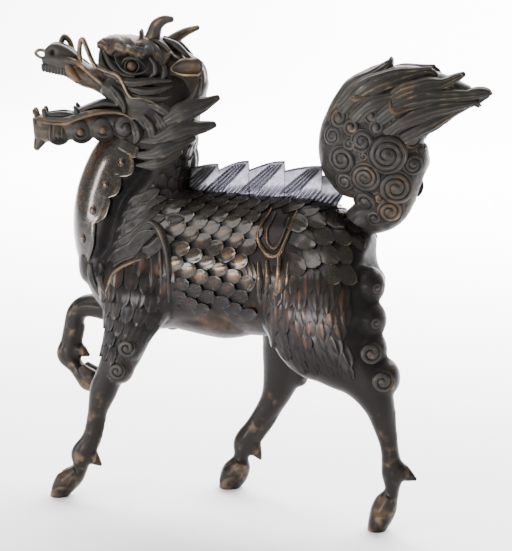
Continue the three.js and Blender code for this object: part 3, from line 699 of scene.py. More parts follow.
def patinaGroup():
    # colour: hide turned towards the dark recess colour where relief is low, as painted shade in hollows,
    # then tinted by tone, and worn metal on what stands out most
    tree = bpy.data.node_groups.new("castPatina", "ShaderNodeTree")
    for way, colours, numbers in [
        ("INPUT", ["Hide", "Tint", "Worn", "RecessShade"], ["Wear", "Gloss"]),
        ("OUTPUT", ["Color"], ["Roughness", "Coat", "Height"]),
    ]:
        for name in colours + numbers:
            kind = "NodeSocketColor" if name in colours else "NodeSocketFloat"
            tree.interface.new_socket(name, in_out=way, socket_type=kind)
    given = tree.nodes.new("NodeGroupInput").outputs
    taken = tree.nodes.new("NodeGroupOutput").inputs
    place = node(tree, "TexCoord").outputs["Object"]
    relief, tone = (
        node(tree, "Attribute", attribute_name=key).outputs["Fac"] for key in ("relief", "tone")
    )
    fine, broad, patch = (
        node(tree, "TexNoise", {"Vector": place, "Scale": scale, "Detail": detail}).outputs["Fac"]
        for scale, detail in ((330, 2), (55, 2), (150, 1))
    )
    span = lambda value, low, high: node(
        tree, "MapRange", {"Value": value, "From Min": low, "From Max": high},
        interpolation_type="SMOOTHSTEP",
    ).outputs["Result"]
    sums = lambda kind: lambda a, b: node(tree, "Math", {0: a, 1: b}, operation=kind).outputs[0]
    times, plus, over = (sums(kind) for kind in ("MULTIPLY", "ADD", "DIVIDE"))
    blend = lambda mask, a, b: node(tree, "Mix", {0: mask, 6: a, 7: b}, data_type="RGBA").outputs[2]
    uneven = plus(relief, times(plus(patch, -0.5), 0.45))
    # hollow is where relief is low: there the colour turns to the recess colour as painted shade
    hollow = span(uneven, 0.42, 0.1)
    worn = times(times(span(uneven, 0.7, 1.0), span(broad, 0.38, 0.64)), given["Wear"])
    spotted = plus(tone, plus(times(plus(broad, -0.5), 0.9), times(plus(patch, -0.5), 0.55)))
    tinted = times(times(span(spotted, 0.4, 1.0), span(relief, 0.2, 0.45)), 0.85)
    colour = blend(tinted, given["Hide"], given["Tint"])
    colour = blend(hollow, colour, given["RecessShade"])
    colour = blend(worn, colour, given["Worn"])
    matt = over(0.55, plus(given["Gloss"], 1.0))
    rough = plus(matt, plus(times(hollow, 0.3), times(span(fine, 0.3, 0.75), 0.1)))
    dull = plus(hollow, times(span(patch, 0.4, 0.7), 0.6))
    coat = times(plus(1.0, times(dull, -0.6)), times(given["Gloss"], 0.28))
    height = plus(times(fine, 0.4), times(broad, 0.6))
    for socket, value in (("Color", colour), ("Roughness", rough), ("Coat", coat), ("Height", height)):
        tree.links.new(value, taken[socket])
    return tree


castPatina = patinaGroup()


def bronzeOf(name, hide="hide", tint="gold", wear=1.0, gloss=1.0, metallic=0.75, coatRoughness=0.14,
             grain=0.00012):
    # the shared patina in one piece's own colours, wear and gloss
    material = bpy.data.materials.new(name)
    material.use_nodes = True
    tree = material.node_tree
    shader = tree.nodes["Principled BSDF"]
    colours = {"Hide": hide, "Tint": tint, "Worn": "worn", "RecessShade": "recessShade"}
    feeds = {socket: patina[key] for socket, key in colours.items()}
    group = node(tree, "Group", {**feeds, "Wear": wear, "Gloss": gloss}, node_tree=castPatina)
    relief = node(tree, "Bump", {"Height": group.outputs["Height"], "Distance": grain, "Strength": 1.0})
    tree.links.new(group.outputs["Color"], shader.inputs["Base Color"])
    tree.links.new(group.outputs["Roughness"], shader.inputs["Roughness"])
    tree.links.new(group.outputs["Coat"], shader.inputs["Coat Weight"])
    tree.links.new(relief.outputs["Normal"], shader.inputs["Normal"])
    shader.inputs["Metallic"].default_value = metallic
    shader.inputs["Specular IOR Level"].default_value = 0.2
    shader.inputs["Coat Roughness"].default_value = coatRoughness
    return material


hideBronze = bronzeOf("hide_bronze", "dark", wear=0.6, gloss=0.35, metallic=0.5)
flankBronze = bronzeOf("flank_bronze", gloss=1.2, coatRoughness=0.1)
sheenBronze = bronzeOf("sheen_bronze", "dark", "russet", 0.7, 1.7, metallic=0.7, coatRoughness=0.07)
throatBronze = bronzeOf("throat_bronze", gloss=1.9, coatRoughness=0.1, grain=0.00001)
thighBronze = bronzeOf("thigh_bronze", "dark", "russet", 0.6, 0.7, metallic=0.55)
finBronze = bronzeOf("fin_bronze", "slate", "slate", 0.3, 1.5, coatRoughness=0.1, grain=0.00002)
lockBronze = bronzeOf("lock_bronze", "olive", wear=0.8, gloss=0.3, metallic=0.4, grain=0.0002)
headBronze = bronzeOf("head_bronze", "olive", wear=0.9, gloss=0.2, metallic=0.35, grain=0.0003)
wireBronze = bronzeOf("wire_bronze", tint="worn", wear=0.7)

# The body: trunk, neck and legs run together with the belly and the tendons behind the shins. The
# soles are cut flat at the floor, and a groove is cut behind the throat strip's edge.
bodyLimbs = [trunk, neck, leftForeleg, rightForeleg, leftHindleg, rightHindleg]
tendons = [
    [[-30.4, -7.5, 25], [-31.2, -7.5, 19], [-32.5, -7.5, 13], [-34.2, -7.5, 9.4]],
    [[29.8, -7.8, 25], [30.2, -7.8, 19], [30.8, -7.8, 14], [31.2, -7.8, 10]],
    [[3.4, 8, 20.6], [0.4, 7.9, 15.2], [-2.8, 7.8, 10.4], [-4.6, 7.8, 7.6]],
    [[-41.6, 7.5, 33], [-42.4, 7.5, 30], [-42.8, 7.5, 27]],
]
dewClaws = [
    [[-35.6, -7.5, 10.6], [-34, -7.5, 9], [-32.3, -7.5, 7.6]],
    [[-44.6, 7.5, 27.6], [-42.4, 7.5, 27.4], [-40.6, 7.5, 26.6]],
    [[30.4, -7.8, 13.4], [32.4, -7.8, 12.2], [34.4, -7.8, 11.3]],
    [[-4.6, 7.8, 11], [-3.4, 7.8, 9], [-2.2, 7.8, 7]],
]
belly = [[-20, 0, 42.7], [-13, 0, 42.4], [-6, 0, 42.4], [1, 0, 43.4], [7, 0, 44.6]]
throatEdge = [[-23.4, 73], [-23.9, 69], [-26.3, 66.3], [-28.7, 62.4], [-30.9, 55.8], [-32, 50]]
throatGroove = {"behind": 1.4, "halfWidth": 1.9, "depth": 0.0066}


def carveBody(points, normals):
    # minus the depth times exp of minus the squared distance from the groove's line
    x, y, z = toShares(points)
    edge = splineThrough(throatEdge, np.linspace(0, 1, 60)) + [throatGroove["behind"], 0]
    close = (np.abs(y) > 3) & (z > 48) & (z < 74)
    away = np.full(len(points), 9.0)
    away[close] = np.hypot(x[close, None] - edge[:, 0], z[close, None] - edge[:, 1]).min(1)
    return -throatGroove["depth"] * bump(away, 0, throatGroove["halfWidth"])


# Lobes down the back of each haunch and behind each elbow: [x, y, z, radius, how far they face back].
legLobes = {
    "near": [[24.3, -6.6, 49.6, 3.3, 1], [24.6, -7.2, 42.9, 3.5, 0.8], [24.8, -7.6, 37, 3.6, 0.35],
             [27.5, -7.5, 31.5, 3.6, 0.25], [-25, -8.4, 34.2, 3.2, 0.15], [-27.2, -8.2, 29.1, 3, 0.1]],
    "far": [[18.4, 7, 51.8, 2.8, 1], [19.4, 7.4, 45.4, 3.3, 0.8], [15.6, 7.8, 38.6, 3.5, 0.5],
            [10.4, 8, 32, 3.2, 0.3], [6.1, 8, 25.7, 2.1, 0.2], [-21.6, 8.2, 37, 3.2, 0.2]],
}
bodyParts = [sweptLimb(limb) for limb in bodyLimbs]
for x, y, z, radius, _ in legLobes["near"] + legLobes["far"]:
    bodyParts.append(ball(toMetres([x, y, z]), radius * share, (0.98, 0.94, 1.14), rows=18, columns=32))
bodyParts += [strand(line, 0.7, 0.7, root=0.8, tip=0.8, caps=(0.8, 0.8)) for line in tendons]
bodyParts += [strand(line, 1.8, 1.4, root=1, tip=0.2) for line in dewClaws]
bodyParts.append(strand(belly, 7.4, 8.0, root=0.8, tip=0.55, fullest=0.45, sides=40))
bodySkin = remeshed(bodyParts, figure["bodyVoxel"], smoothing=5, carve=carveBody)
# the groove's relief is lowered so that painted shade shows it black
bodySkin["relief"] = np.clip(bodySkin["relief"] + 130 * carveBody(bodySkin["points"], None), 0, 1)
bodySkin["points"][:, 2] = np.maximum(bodySkin["points"][:, 2], 0)
# painted shade darkens the skin between the scales and at the rear of the haunch round its lobes, and the
# belly is tinted
bodyX, bodyY, bodyZ = toShares(bodySkin["points"])
scaled = np.maximum(smoothStep(bodyZ, 44, 49), smoothStep(bodyZ, 32, 36) * smoothStep(bodyX, 3, 6))
rearward = smoothStep(bodyX, 15, 19) * smoothStep(bodyZ, 31, 35)
bodySkin["relief"] *= 1 - 0.3 * scaled - 0.35 * rearward
bodySkin["tone"] = 0.3 + 0.26 * bump(bodyZ, 39, 6) * bump(bodyX, -6, 13) * (np.abs(bodyY) < 12)
hide = surfaceOf(bodySkin)
for limb in bodyLimbs:
    limb["lift"] = liftOf(limb, hide)
body = addPiece("body", [bodySkin], hideBronze, sharp=60)
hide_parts("qilin_figure")

# Scales: lines over the flanks, the back, the haunches and the upper arms, and up the nape.
scales = {
    # length, width, step along a line, step from line to line and rise, in metres, and the veins
    "flank": [0.0215, 0.0106, 0.0176, 0.0076, 0.0018, 0],
    "haunch": [0.0235, 0.0125, 0.0200, 0.0088, 0.0018, 0],
    "arm": [0.0230, 0.0100, 0.0280, 0.0052, 0.0018, 1],
    "neck": [0.0150, 0.0095, 0.0190, 0.0052, 0.0012, 1],
    "tilt": 22,  # degrees that the flank's lines rise to the rear
    "lowLine": [49.6, 0.12],  # height of the dark scales' upper edge at the shoulder, and its fall
}


def scaleRows(key, limb, side, start, end, low, high, keep, tilt=0.0, tone=(0.35, 1.1)):
    # from start to end of the limb, where low and high are angles from its front towards the side,
    # and tilt turns the lines towards its rear
    length, width, stepAlong, stepAcross, rise, veins = scales[key]
    low, high = sorted((low * side, high * side))
    place, angle, girth = scaleLattice(limb, start, end, low, high, stepAlong, stepAcross, tilt * side)
    x, y, z = toShares(skinAt(limb, place, angle))
    kept = keep(x, np.abs(y), z)
    place, angle, girth, z = place[kept], angle[kept], girth[kept], z[kept]
    count = len(place)
    grow = chance.uniform(0.93, 1.07, count)
    lean = tilt * side + chance.normal(0, 0.06, count)
    # painted shade: scales lower down the side are darker, and each is darker by a random amount
    shade = 1 - 0.3 * (1 - smoothStep(z, 45, 54)) - 0.12 * chance.random(count)
    tones = chance.uniform(*tone, count) * bump(z, 51, 13)
    return scalesOn(limb, place, angle, length * grow * girth**0.3, width * grow * girth, rise, lean, veins,
                    tones, shade)


def scalesOnBoth(key, limb, *more, **others):
    # the same rows of scales on the two sides
    return [scaleRows(key, limb, side, *more, **others) for side in (near, far)]


def onFlank(x, y, z):
    # above the smooth belly, behind the shoulder's crest and outside the folds of the haunch
    belly = z > 44.6 - (x + 15.6) * 0.29
    shoulder = (x > -15.6) | (z > 57.5 + (x + 15.6) * -0.55)
    fold = (x > 2.2) & (x < 8.8) & (y > 4) & (z < 63.0)
    thigh = (x > 0.4) & (z < 53.5) & (y > 5)
    return belly & shoulder & ~fold & ~thigh & ((x < 9) | (z > 62)) & (x < 20)


def onLowFlank(x, y, z):
    # on the flank and under a line that falls evenly towards the tail
    height, fall = scales["lowLine"]
    return onFlank(x, y, z) & (z < height - fall * (x + 15.6))


def onHighFlank(x, y, z):
    # the rest of the flank, over that line
    return onFlank(x, y, z) & ~onLowFlank(x, y, z)


def onHaunch(x, y, z):
    # a box over the haunch
    return (x > 8.8) & (x < 21.5) & (z > 52.6) & (z < 63)


flank = (trunk, 0.16, 0.96, 0.1, 2.2)
tilt = -math.radians(scales["tilt"])
flankScales = scalesOnBoth("flank", *flank, onHighFlank, tilt)
# the scales under the low line take the darker sheen material: painted shade towards the bottom of the
# flank, with a russet tint and more gloss
lowScales = scalesOnBoth("flank", *flank, onLowFlank, tilt, (0.5, 1.2))
addPiece("low_scales", lowScales, sheenBronze, sharp=50)
flankScales += scalesOnBoth("haunch", trunk, 0.6, 0.96, 0.2, 2.0, onHaunch, 0.3, (0.2, 0.7))
addPiece("flank_scales", flankScales, flankBronze, sharp=50)


# The long scales of a thigh: the rows' heights, then a scale's own sizes, in shares.
thigh = {
    "top": 54.6,
    "bottom": 34.5,
    "rowStep": 3.0,
    "step": 2.7,
    "length": 6.6,
    "half": 1.55,
    "rise": 0.0023,  # metres
    "lean": 5,  # degrees to the rear
}


def freeOf(lobes, x, z):
    # under the haunch scales, before the rump and off the lobes
    clear = all(math.hypot(x - lobe[0], z - lobe[2]) > lobe[3] * 0.9 for lobe in lobes)
    return clear and z < 54.5 and (x < 20.5 or z < 47)


def thighScales(leg, side, lobes):
    # each row runs from the leg's front to its rear, every second one shifted by half a step. A
    # scale leans by 0.6 of the leg's own slope.
    stations = np.array(leg["stations"], float)[::-1]
    made = []
    for row, level in enumerate(np.arange(thigh["top"], thigh["bottom"], -thigh["rowStep"])):
        centre, depth = (np.interp(level - 2, stations[:, 2], stations[:, k]) for k in (0, 3))
        above, below = np.interp([level + 1, level - 5], stations[:, 2], stations[:, 0])
        slope = math.atan2(below - above, 6)
        lean = math.radians(thigh["lean"]) + 0.6 * slope
        grow = float(np.interp(level, [33, 42], [0.75, 1]))
        reach = depth / math.cos(slope)
        shift = 0.5 * thigh["step"] * (row % 2)
        for x in np.arange(centre - reach, centre + reach, thigh["step"] * grow) + shift:
            turned = lean + chance.normal(0, 0.05)
            step = np.array([math.sin(turned), -math.cos(turned)]) * thigh["length"] * grow
            step = step * chance.uniform(0.92, 1.08)
            line = np.array([x, level]) + np.array([[0], [0.5], [1]]) * step
            landed = thrownOn(hide, line, side)
            if any(hit[0] is None or hit[0][1] * side < 0.018 or hit[1][1] * side < 0.45 for hit in landed):
                continue
            if np.ptp([hit[0][1] for hit in landed]) > 0.011:
                continue
            if not all(freeOf(lobes, *place) for place in line[1:]):
                continue
            tone = chance.uniform(0.5, 1.3) * bump(level, 50, 12)
            plate = plateOn(hide, line, side, thigh["half"] * grow, thigh["rise"], rows=9, columns=9,
                            ribs=1, root=0.7, fullest=0.55, skirt=0.0016, tone=tone, blunt=0.7)
            if plate:
                # painted shade: leaves lower down and towards the leg's rear are darker, and each is darker
                # by a random amount
                low, behind = smoothStep(-level, -46, -38), smoothStep(x, centre, centre + depth)
                plate["relief"] *= 1 - 0.25 * low - 0.35 * behind - 0.15 * chance.random()
                made.append(plate)
    return made


nearThigh = thighScales(leftHindleg, near, legLobes["near"])
farThigh = thighScales(rightHindleg, far, legLobes["far"])
addPiece("thigh_scales", nearThigh + farThigh, thighBronze, sharp=50)


def onArm(x, y, z):
    # below the shoulder and off the two lobes behind the elbow
    return (z < 52.5) & (np.hypot(x + 24.2, z - 34.2) > 3.4) & (np.hypot(x + 26.6, z - 29.1) > 3.2)


def behindStrip(x, y, z):
    # behind the throat strip's edge, which is given as x at each height
    return x > np.interp(z, [50, 55.8, 62.4, 66.3, 69, 73], [-26, -25, -23, -21, -19, -18])


armScales = [
    scaleRows("arm", leg, side, 0.03, end, 0.5, math.pi - 0.5, onArm, tone=(0.4, 1.1))
    for leg, end, side in ((leftForeleg, 0.34, near), (rightForeleg, 0.2, far))
]
addPiece("arm_scales", armScales, thighBronze, sharp=50)
neckScales = scalesOnBoth("neck", neck, 0.22, 0.8, 1.3, 3.14, behindStrip, tone=(0.1, 0.4))
addPiece("neck_scales", neckScales, hideBronze, sharp=50)

# The throat strip: a smooth band down the front of the neck with a lobed edge and beads.
throat = {
    "start": 0.03,  # of the neck
    "end": 0.66,
    "rise": 0.0018,
    "depth": 0.0052,
    "halfAngle": [0.72, 0.95, 1.2, 1.38, 1.5, 1.62, 1.62],  # from the strip's foot to its top
    "lobes": 5,
    "lobed": 0.93,  # of the strip's length
}


def throatStrip():
    # angle round the throat = v * half angle, scalloped into lobes by the root of a sine's size
    rows, columns = 130, 45
    t = np.linspace(throat["start"], throat["end"], rows)
    u = (t - t[0]) / (t[-1] - t[0])
    widths = splineThrough(np.array(throat["halfAngle"])[:, None], u)[:, 0]
    phase = np.minimum(throat["lobes"] * u / throat["lobed"], throat["lobes"])
    lobe = np.abs(np.sin(np.pi * (phase + 0.12 * np.sin(9 * u)))) ** 0.5 + 0.15 * np.sin(2 * np.pi * phase)
    v = np.linspace(-1, 1, columns)[None, :]
    angles = v * (widths - 0.15 + 0.15 * lobe)[:, None]
    points, normals, _, _ = skinFrame(neck, np.broadcast_to(t[:, None], angles.shape), angles)
    edge = smoothStep(np.abs(v), 0.91, 0.96) * (1 - 0.6 * smoothStep(np.abs(v), 0.97, 1.0))
    dip = bump(np.abs(v), 0.8, 0.07) * (lobe[:, None] > 0.3)
    height = throat["rise"] * (1 - 0.1 * v**2) + 0.0005 * edge - 0.0002 * dip + 0 * angles
    # the dip by the lobes gets lower relief as painted shade, and the edge more as wear
    relief = 0.55 + 0.3 * edge - 0.22 * dip + 0 * angles
    tones = 0.25 + 0.9 * bump(np.abs(v), 0.26, 0.26) + 0 * angles
    made = [slab(points + normals * height[..., None], points - normals * throat["depth"], relief, tones)]
    for k in range(throat["lobes"]):
        place = t[0] + (k + 0.5) / throat["lobes"] * throat["lobed"] * (t[-1] - t[0])
        wide = np.interp(place, t, widths)
        for side in (near, far):
            p, n, _, _ = skinFrame(neck, np.array([place]), np.array([side * (wide - 0.3)]))
            lifted = p[0] + n[0] * throat["rise"]
            made.append(ball(lifted - n[0] * 0.0004, 0.0019, (1, 1, 1.7), relief=0.75, tone=0.9))
            made.append(hoop(lifted, n[0], 0.0033, 0.0006, 0.75, relief=0.6))
    return made


addPiece("throat_strip", throatStrip(), throatBronze, sharp=55)


# Flames and folds that lie on the beast's sides, as lines of [x, z] places with a half width.
def bothSides(line, half, thin, **more):
    # the same lock on the two sides
    return [sideStrand(hide, line, side, half, thin, **more) for side in (near, far)]


def platesOn(leaves, rise, **more):
    # a plate on each side for every line, each of five a little higher than the last
    made = [plateOn(hide, line, side, half, rise + 0.0003 * (k % 5), **more)
            for k, (line, half) in enumerate(leaves) for side in (near, far)]
    return [plate for plate in made if plate]


flames = {
    "plates": [
        [[[-30.4, 47.4], [-29, 50.6], [-26.2, 53], [-23.8, 54.2], [-21.8, 56.6], [-18.6, 58]], 1.5],
        [[[-29.8, 50.6], [-28, 53.6], [-25, 55.6], [-22.6, 57], [-20.4, 59.6], [-17, 60.6]], 1.5],
        [[[-28.6, 54.6], [-26.6, 57.2], [-23.6, 59], [-21.6, 60.8], [-18.6, 61.8]], 1.4],
        [[[-27.4, 58], [-25.4, 60.4], [-22.8, 61.8], [-20.8, 63.8], [-17.8, 64.6]], 1.3],
        [[[-25.8, 61.4], [-23.8, 63.4], [-21.4, 64.6], [-19, 66.4]], 1.15],
        [[[-24.8, 51.8], [-22.2, 53.6], [-19.4, 54.6], [-17.2, 56.4], [-14.4, 57]], 1.2],
        [[[-21.8, 57.4], [-18.8, 58.6], [-16.2, 60.2], [-13.2, 60.6]], 1.15],
    ],
    "rim": [[-29.4, 44.6], [-28.3, 46.9], [-27.4, 49], [-25.3, 50.9], [-22.3, 52.2], [-20, 53],
            [-18.4, 54.6]],
    "hook": [[-23.2, 58.4], [-20.8, 59.6], [-18.9, 59], [-17.3, 57.3], [-16.1, 54.8], [-15.6, 51.3],
             [-15.7, 46.8], [-16.6, 42.4]],
    "ridges": [
        [[-17.6, 54.6], [-17.3, 50.4], [-17.6, 46], [-18.6, 42]],
        [[-19.4, 52.8], [-19.2, 49.4], [-19.4, 46]],
    ],
    "chest": [
        [[-33.8, 50.2], [-33.6, 47.4], [-31.9, 44.4], [-28.8, 42]],
        [[-31.4, 50.4], [-30.6, 47.2], [-28.9, 44.4]],
    ],
}


def shoulderPieces():
    # plates, then the raised rim, hook, ridges and chest tongues on both sides
    made = platesOn(flames["plates"], 0.0026, ribs=0, tone=0.3)
    made += bothSides(flames["rim"], 0.4, 0.5, root=0.5, tip=0.4, relief=0.8, tone=0.85, rings=40)
    made += bothSides(flames["hook"], 1.0, 1.15, grooves=4, sides=28, root=0.3, tip=0.35, rings=44)
    for line in flames["ridges"]:
        made += bothSides(line, 0.7, 0.6, grooves=3, sides=24, root=0.5, tip=0.3)
    for line in flames["chest"]:
        made += bothSides(line, 1.0, 0.6, grooves=4, sides=28, root=0.5, tip=0.3)
    return made


addPiece("shoulder_flames", shoulderPieces(), lockBronze)

haunch = {
    "loop": [[3.8, 63.2], [3.6, 62.2], [2.7, 60.6], [2.3, 58.4], [3.4, 56.4], [5.1, 54.9], [6.9, 55.2],
             [7.8, 57.2], [8.6, 59.6], [8.8, 61.4], [9.2, 63]],
    "inner": [[4.9, 62.6], [4.6, 61.2], [4, 59.6], [4.5, 57.4], [5.9, 56.3], [7, 57.6], [7.7, 60],
              [7.9, 61.8]],
    "cord": [[7, 55], [7.1, 53.4], [6.8, 49.3], [5.9, 46], [5.2, 43.4]],
    "strands": [
        [[4.6, 54], [4.9, 51.4], [4.6, 48.6], [4.2, 45.2]],
        [[9, 54], [9, 50.8], [8.7, 48.2]],
        [[2.9, 53.6], [3.2, 50.6], [3, 47.4], [3.4, 43.8]],
    ],
    "blade": [[[-0.4, 55.2], [1, 53], [1.7, 50.2], [0.7, 47.4]], 1.0],
}


def haunchPieces():
    # two loops, a cord, strands and one blade on both sides
    made = bothSides(haunch["loop"], 0.48, 0.5, relief=0.75, tone=0.8, root=0.6, tip=0.6, rings=44)
    made += bothSides(haunch["inner"], 0.32, 0.36, relief=0.7, tone=0.7, root=0.8, tip=0.7, rings=36)
    made += bothSides(haunch["cord"], 0.5, 0.5, relief=0.75, tone=0.8, root=0.9, tip=0.5, rings=40)
    for line in haunch["strands"]:
        made += bothSides(line, 0.75, 0.55, grooves=4, sides=28, root=0.5, tip=0.35, tone=0.6)
    made += platesOn([haunch["blade"]], 0.0018, ribs=1, root=0.1, fullest=0.5, tone=0.8)
    return made


addPiece("haunch_folds", haunchPieces(), flankBronze, sharp=50)


def curlPieces():
    # a low curl on each lobe, small on the two highest of each haunch, and a second one by each elbow
    made = []
    for key, side in (("near", near), ("far", far)):
        for k, (x, y, z, radius, back) in enumerate(legLobes[key]):
            out = unit(np.array([back, side, 0.0]))
            size = 0.34 if k < 2 else 0.6
            for shift, grow in ((0, size), (0.5, size * 0.6))[:1 if x > 0 else 2]:
                start = toMetres([x - 3.4 * shift, y, z - 3.6 * shift]) + out * 0.06
                hit, normal, _, _ = hide.ray_cast(Vector(start), Vector(-out))
                turned = unit(np.array(normal) + out)
                made.append(curl(np.array(hit) - turned * 0.0008, turned, [0, 0, -1], radius * grow * share,
                                 turns=1.7, high=0.2, spin=-side, tone=0.4))
    return made


addPiece("leg_curls", curlPieces(), lockBronze)

# Two toes to a hoof, each a line of [x, y, z] places with half the way between them, and the dew
# claw behind each fetlock.
hooves = [
    [[[-37.4, -7.5, 6.2], [-39.8, -7.5, 3.8], [-41.8, -7.5, 1.4]], 1.25],
    [[[-41.8, 7.4, 24], [-40, 7.4, 22.2], [-38.6, 7.4, 20.6]], 1.2],
    [[[29.4, -7.8, 7.4], [28, -7.8, 4.4], [26.8, -7.8, 1.5]], 1.3],
    [[[-6.6, 7.8, 6], [-8.2, 7.8, 3.6], [-9.8, 7.8, 1.4]], 1.3],
]


def hoofPieces():
    # dew claws and two toes to a hoof, those on the ground kept over z = 0
    made = [strand(line, 1.7, 1.2, root=1, tip=0.25, caps=(0.3, 1.0)) for line in dewClaws]
    for line, across in hooves:
        for shift in (-across, across):
            toe = strand([[x, y + shift, z] for x, y, z in line], 2.0, 1.3, root=0.5, tip=0.62, fullest=0.5,
                         caps=(0.4, 0.8), relief=0.5, sides=28)
            if line[-1][2] < 9:
                toe["points"][:, 2] = np.maximum(toe["points"][:, 2], 0.0002)
            made.append(toe)
    return made


addPiece("hooves", hoofPieces(), hideBronze)

# The fin: a plate with a curved, toothed crest, long lines that rise to each tooth and short
# strokes along its foot.
fin = {
    # start and tip of each tooth, in [x, z] places
    "teeth": [[[-15.6, 69.2], [-8.6, 70.9]], [[-8.5, 69.7], [-2.2, 71.8]], [[-2.2, 70], [5.3, 72.1]],
              [[5.1, 70.2], [12.9, 71.5]]],
    "rear": [[12.9, 69.6], [15.6, 69.6], [17.4, 66.9]],
    "foot": 62.4,
    "footThickness": 0.0044,
    "crestThickness": 0.0017,
    "groove": 0.0007,
    "slope": 0.84,  # how far a stroke leans forward for each unit that it goes down
    "strokes": 1.04,  # shares between the short strokes
}


def finPlate():
    # x runs to the rear and v from foot to crest, which rises to each tip as a quarter sine
    rows, columns = 36, 360
    crest = [[-15.7, 64.6]]
    for start, tip in np.array(fin["teeth"]):
        s = np.linspace(0, 1, 7)[:, None]
        crest += (start + (tip - start) * np.hstack([s, np.sin(np.pi / 2 * s)])).tolist()
    crest = np.array(crest + fin["rear"])
    crestX = np.maximum.accumulate(crest[:, 0] + np.arange(len(crest)) * 2e-3)
    x = np.linspace(crestX[0], 17.3, columns)
    top, low = np.interp(x, crestX, crest[:, 1]), np.interp(x, [15.4, 17.4], [fin["foot"], 66.2])
    v = np.linspace(0, 1, rows)[:, None]
    z = low + (top - low) * v
    x = x + 0 * z
    leaning = x - (z - fin["foot"]) * fin["slope"]
    stroke = np.cos(np.pi * leaning / fin["strokes"]) ** 8
    stroke = stroke * smoothStep(-v, -0.56, -0.36) * smoothStep(v, 0.12, 0.2)
    long = np.zeros_like(z)
    for _, (tipX, tipZ) in fin["teeth"]:
        for shift in (0.35, 1.3, 2.3, 3.4):
            # x - tip + 0.75 drop + 0.025 drop^2: a line that curves down and forward from the tip
            drop = np.clip(tipZ - z, 0, 9)
            line = x - tipX + shift * (1 - 0.6 * np.exp(-drop / 2.5)) + 0.75 * drop + 0.025 * drop**2
            here = bump(line, 0, 0.13) * smoothStep(drop, 0.3, 1.2) * smoothStep(v, 0.1, 0.22)
            long = np.maximum(long, here)
    cut = np.clip(0.75 * stroke + 1.1 * long, 0, 1.2)
    half = (fin["footThickness"] + (fin["crestThickness"] - fin["footThickness"]) * v**0.8) / 2
    half = (half - fin["groove"] * cut) * np.where(v > 0.985, 0.6, 1)
    right, left = (toMetres(np.stack([x, side * half / share, z], -1)) for side in (far, near))
    # the relief paints the fin's shading: darker at the foot, by the neck, at the crest, towards the rear
    # and in the grooves, so the middle stands lighter; the top edge is lighter as wear
    relief = 0.56 - 0.22 * (1 - smoothStep(v, 0.02, 0.4)) - 0.2 * smoothStep(v, 0.55, 0.95)
    relief = relief - 0.2 * smoothStep(x, 7, 14) - 0.36 * (1 - smoothStep(x, -14, -7))
    relief = np.clip(relief - 0.4 * cut + 0.4 * smoothStep(v, 0.95, 1), 0, 1)
    plate = slab(right, left, relief, 0.5)
    plate["relief"][rows * columns:] = relief.ravel()
    return plate


addPiece("fin", [finPlate()], finBronze, sharp=50)

# The tail: a bulb packed with curls, and a plume of broad grooved ribbons.
tailSkin = remeshed([sweptLimb(tail, caps=(0.5, 0.6))], figure["tailVoxel"])
tailSurface = surfaceOf(tailSkin)
# the bulb's skin is halved in relief: painted shade between the curls
tailSkin["relief"] = tailSkin["relief"] * 0.5
tailBulb = {
    # [x, z, radius] of each curl on the side that faces the camera, then on the far side
    "near": [[27.4, 75.4, 3.7], [28.9, 68.9, 3.4], [22.6, 77.8, 2.4], [23.2, 70.8, 2.9], [18.5, 74, 2.7],
             [17.6, 82, 2.3], [32, 73.4, 2.1], [27.6, 64, 2.4], [22.7, 65.6, 2.5], [20.4, 80.4, 1.7],
             [16.4, 78.4, 2], [32.2, 68.8, 1.8], [18.9, 69.6, 2], [24.6, 62.4, 1.5], [31.2, 65, 1.6],
             [31.6, 78.4, 1.9], [14.6, 74, 1.8], [25.4, 80.6, 1.6], [20.2, 77.2, 1.4], [25.9, 72.4, 1.2]],
    "far": [[27.6, 75.3, 3.7], [28.9, 68.6, 3.3], [22, 78, 3], [22.6, 70.9, 3.1], [17.6, 74.6, 2.7],
            [27, 63.8, 2.4], [21.9, 65, 2.4], [32, 73, 2.1], [17.4, 81.4, 2.3], [18.4, 69, 2.1],
            [31.8, 67.8, 1.8], [31.4, 78.6, 2], [14.6, 77, 1.9]],
    # the bulb's left edge, as heights and x, which every curl keeps off
    "edge": [[61, 65.4, 67.8, 69.7, 74.6, 79.6, 84.6], [21.8, 20.4, 17.8, 15.4, 13.6, 14.6, 16.6]],
}


def tailCurls():
    # the listed curls first, then smaller ones by chance wherever one still fits between them
    made = []
    for key, side in (("near", near), ("far", far)):
        placed = [list(one) for one in tailBulb[key]]
        for radius in np.repeat([2.0, 1.6, 1.25, 1.0], 160):
            x, z = chance.uniform(12.6, 33.2), chance.uniform(61, 83)
            gaps = [math.hypot(x - a, z - b) - 0.74 * (radius + c) for a, b, c in placed]
            if min(gaps) > 0:
                placed.append([x, z, radius])
        for k, (x, z, radius) in enumerate(placed):
            hit, normal, _, _ = thrownOn(tailSurface, [[x, z]], side)[0]
            if hit is None or normal.y * side < 0.5 or x - 0.8 * radius < np.interp(z, *tailBulb["edge"]):
                continue
            out = unit(np.array(normal) + [0, side * 0.3, 0])
            made.append(curl(np.array(hit) - out * 0.0004 * (k % 3), out, [-1, 0, 0.5 * (k % 3)],
                             radius * 1.06 * share, high=0.24, ridge=0.46, tone=0.3 + 0.25 * (k % 2),
                             turns=3.4 if radius > 2.8 else 2.6 if radius > 1.9 else 1.8,
                             spin=-side if k % 2 else side, columns=40 if radius > 1.9 else 26))
    return made


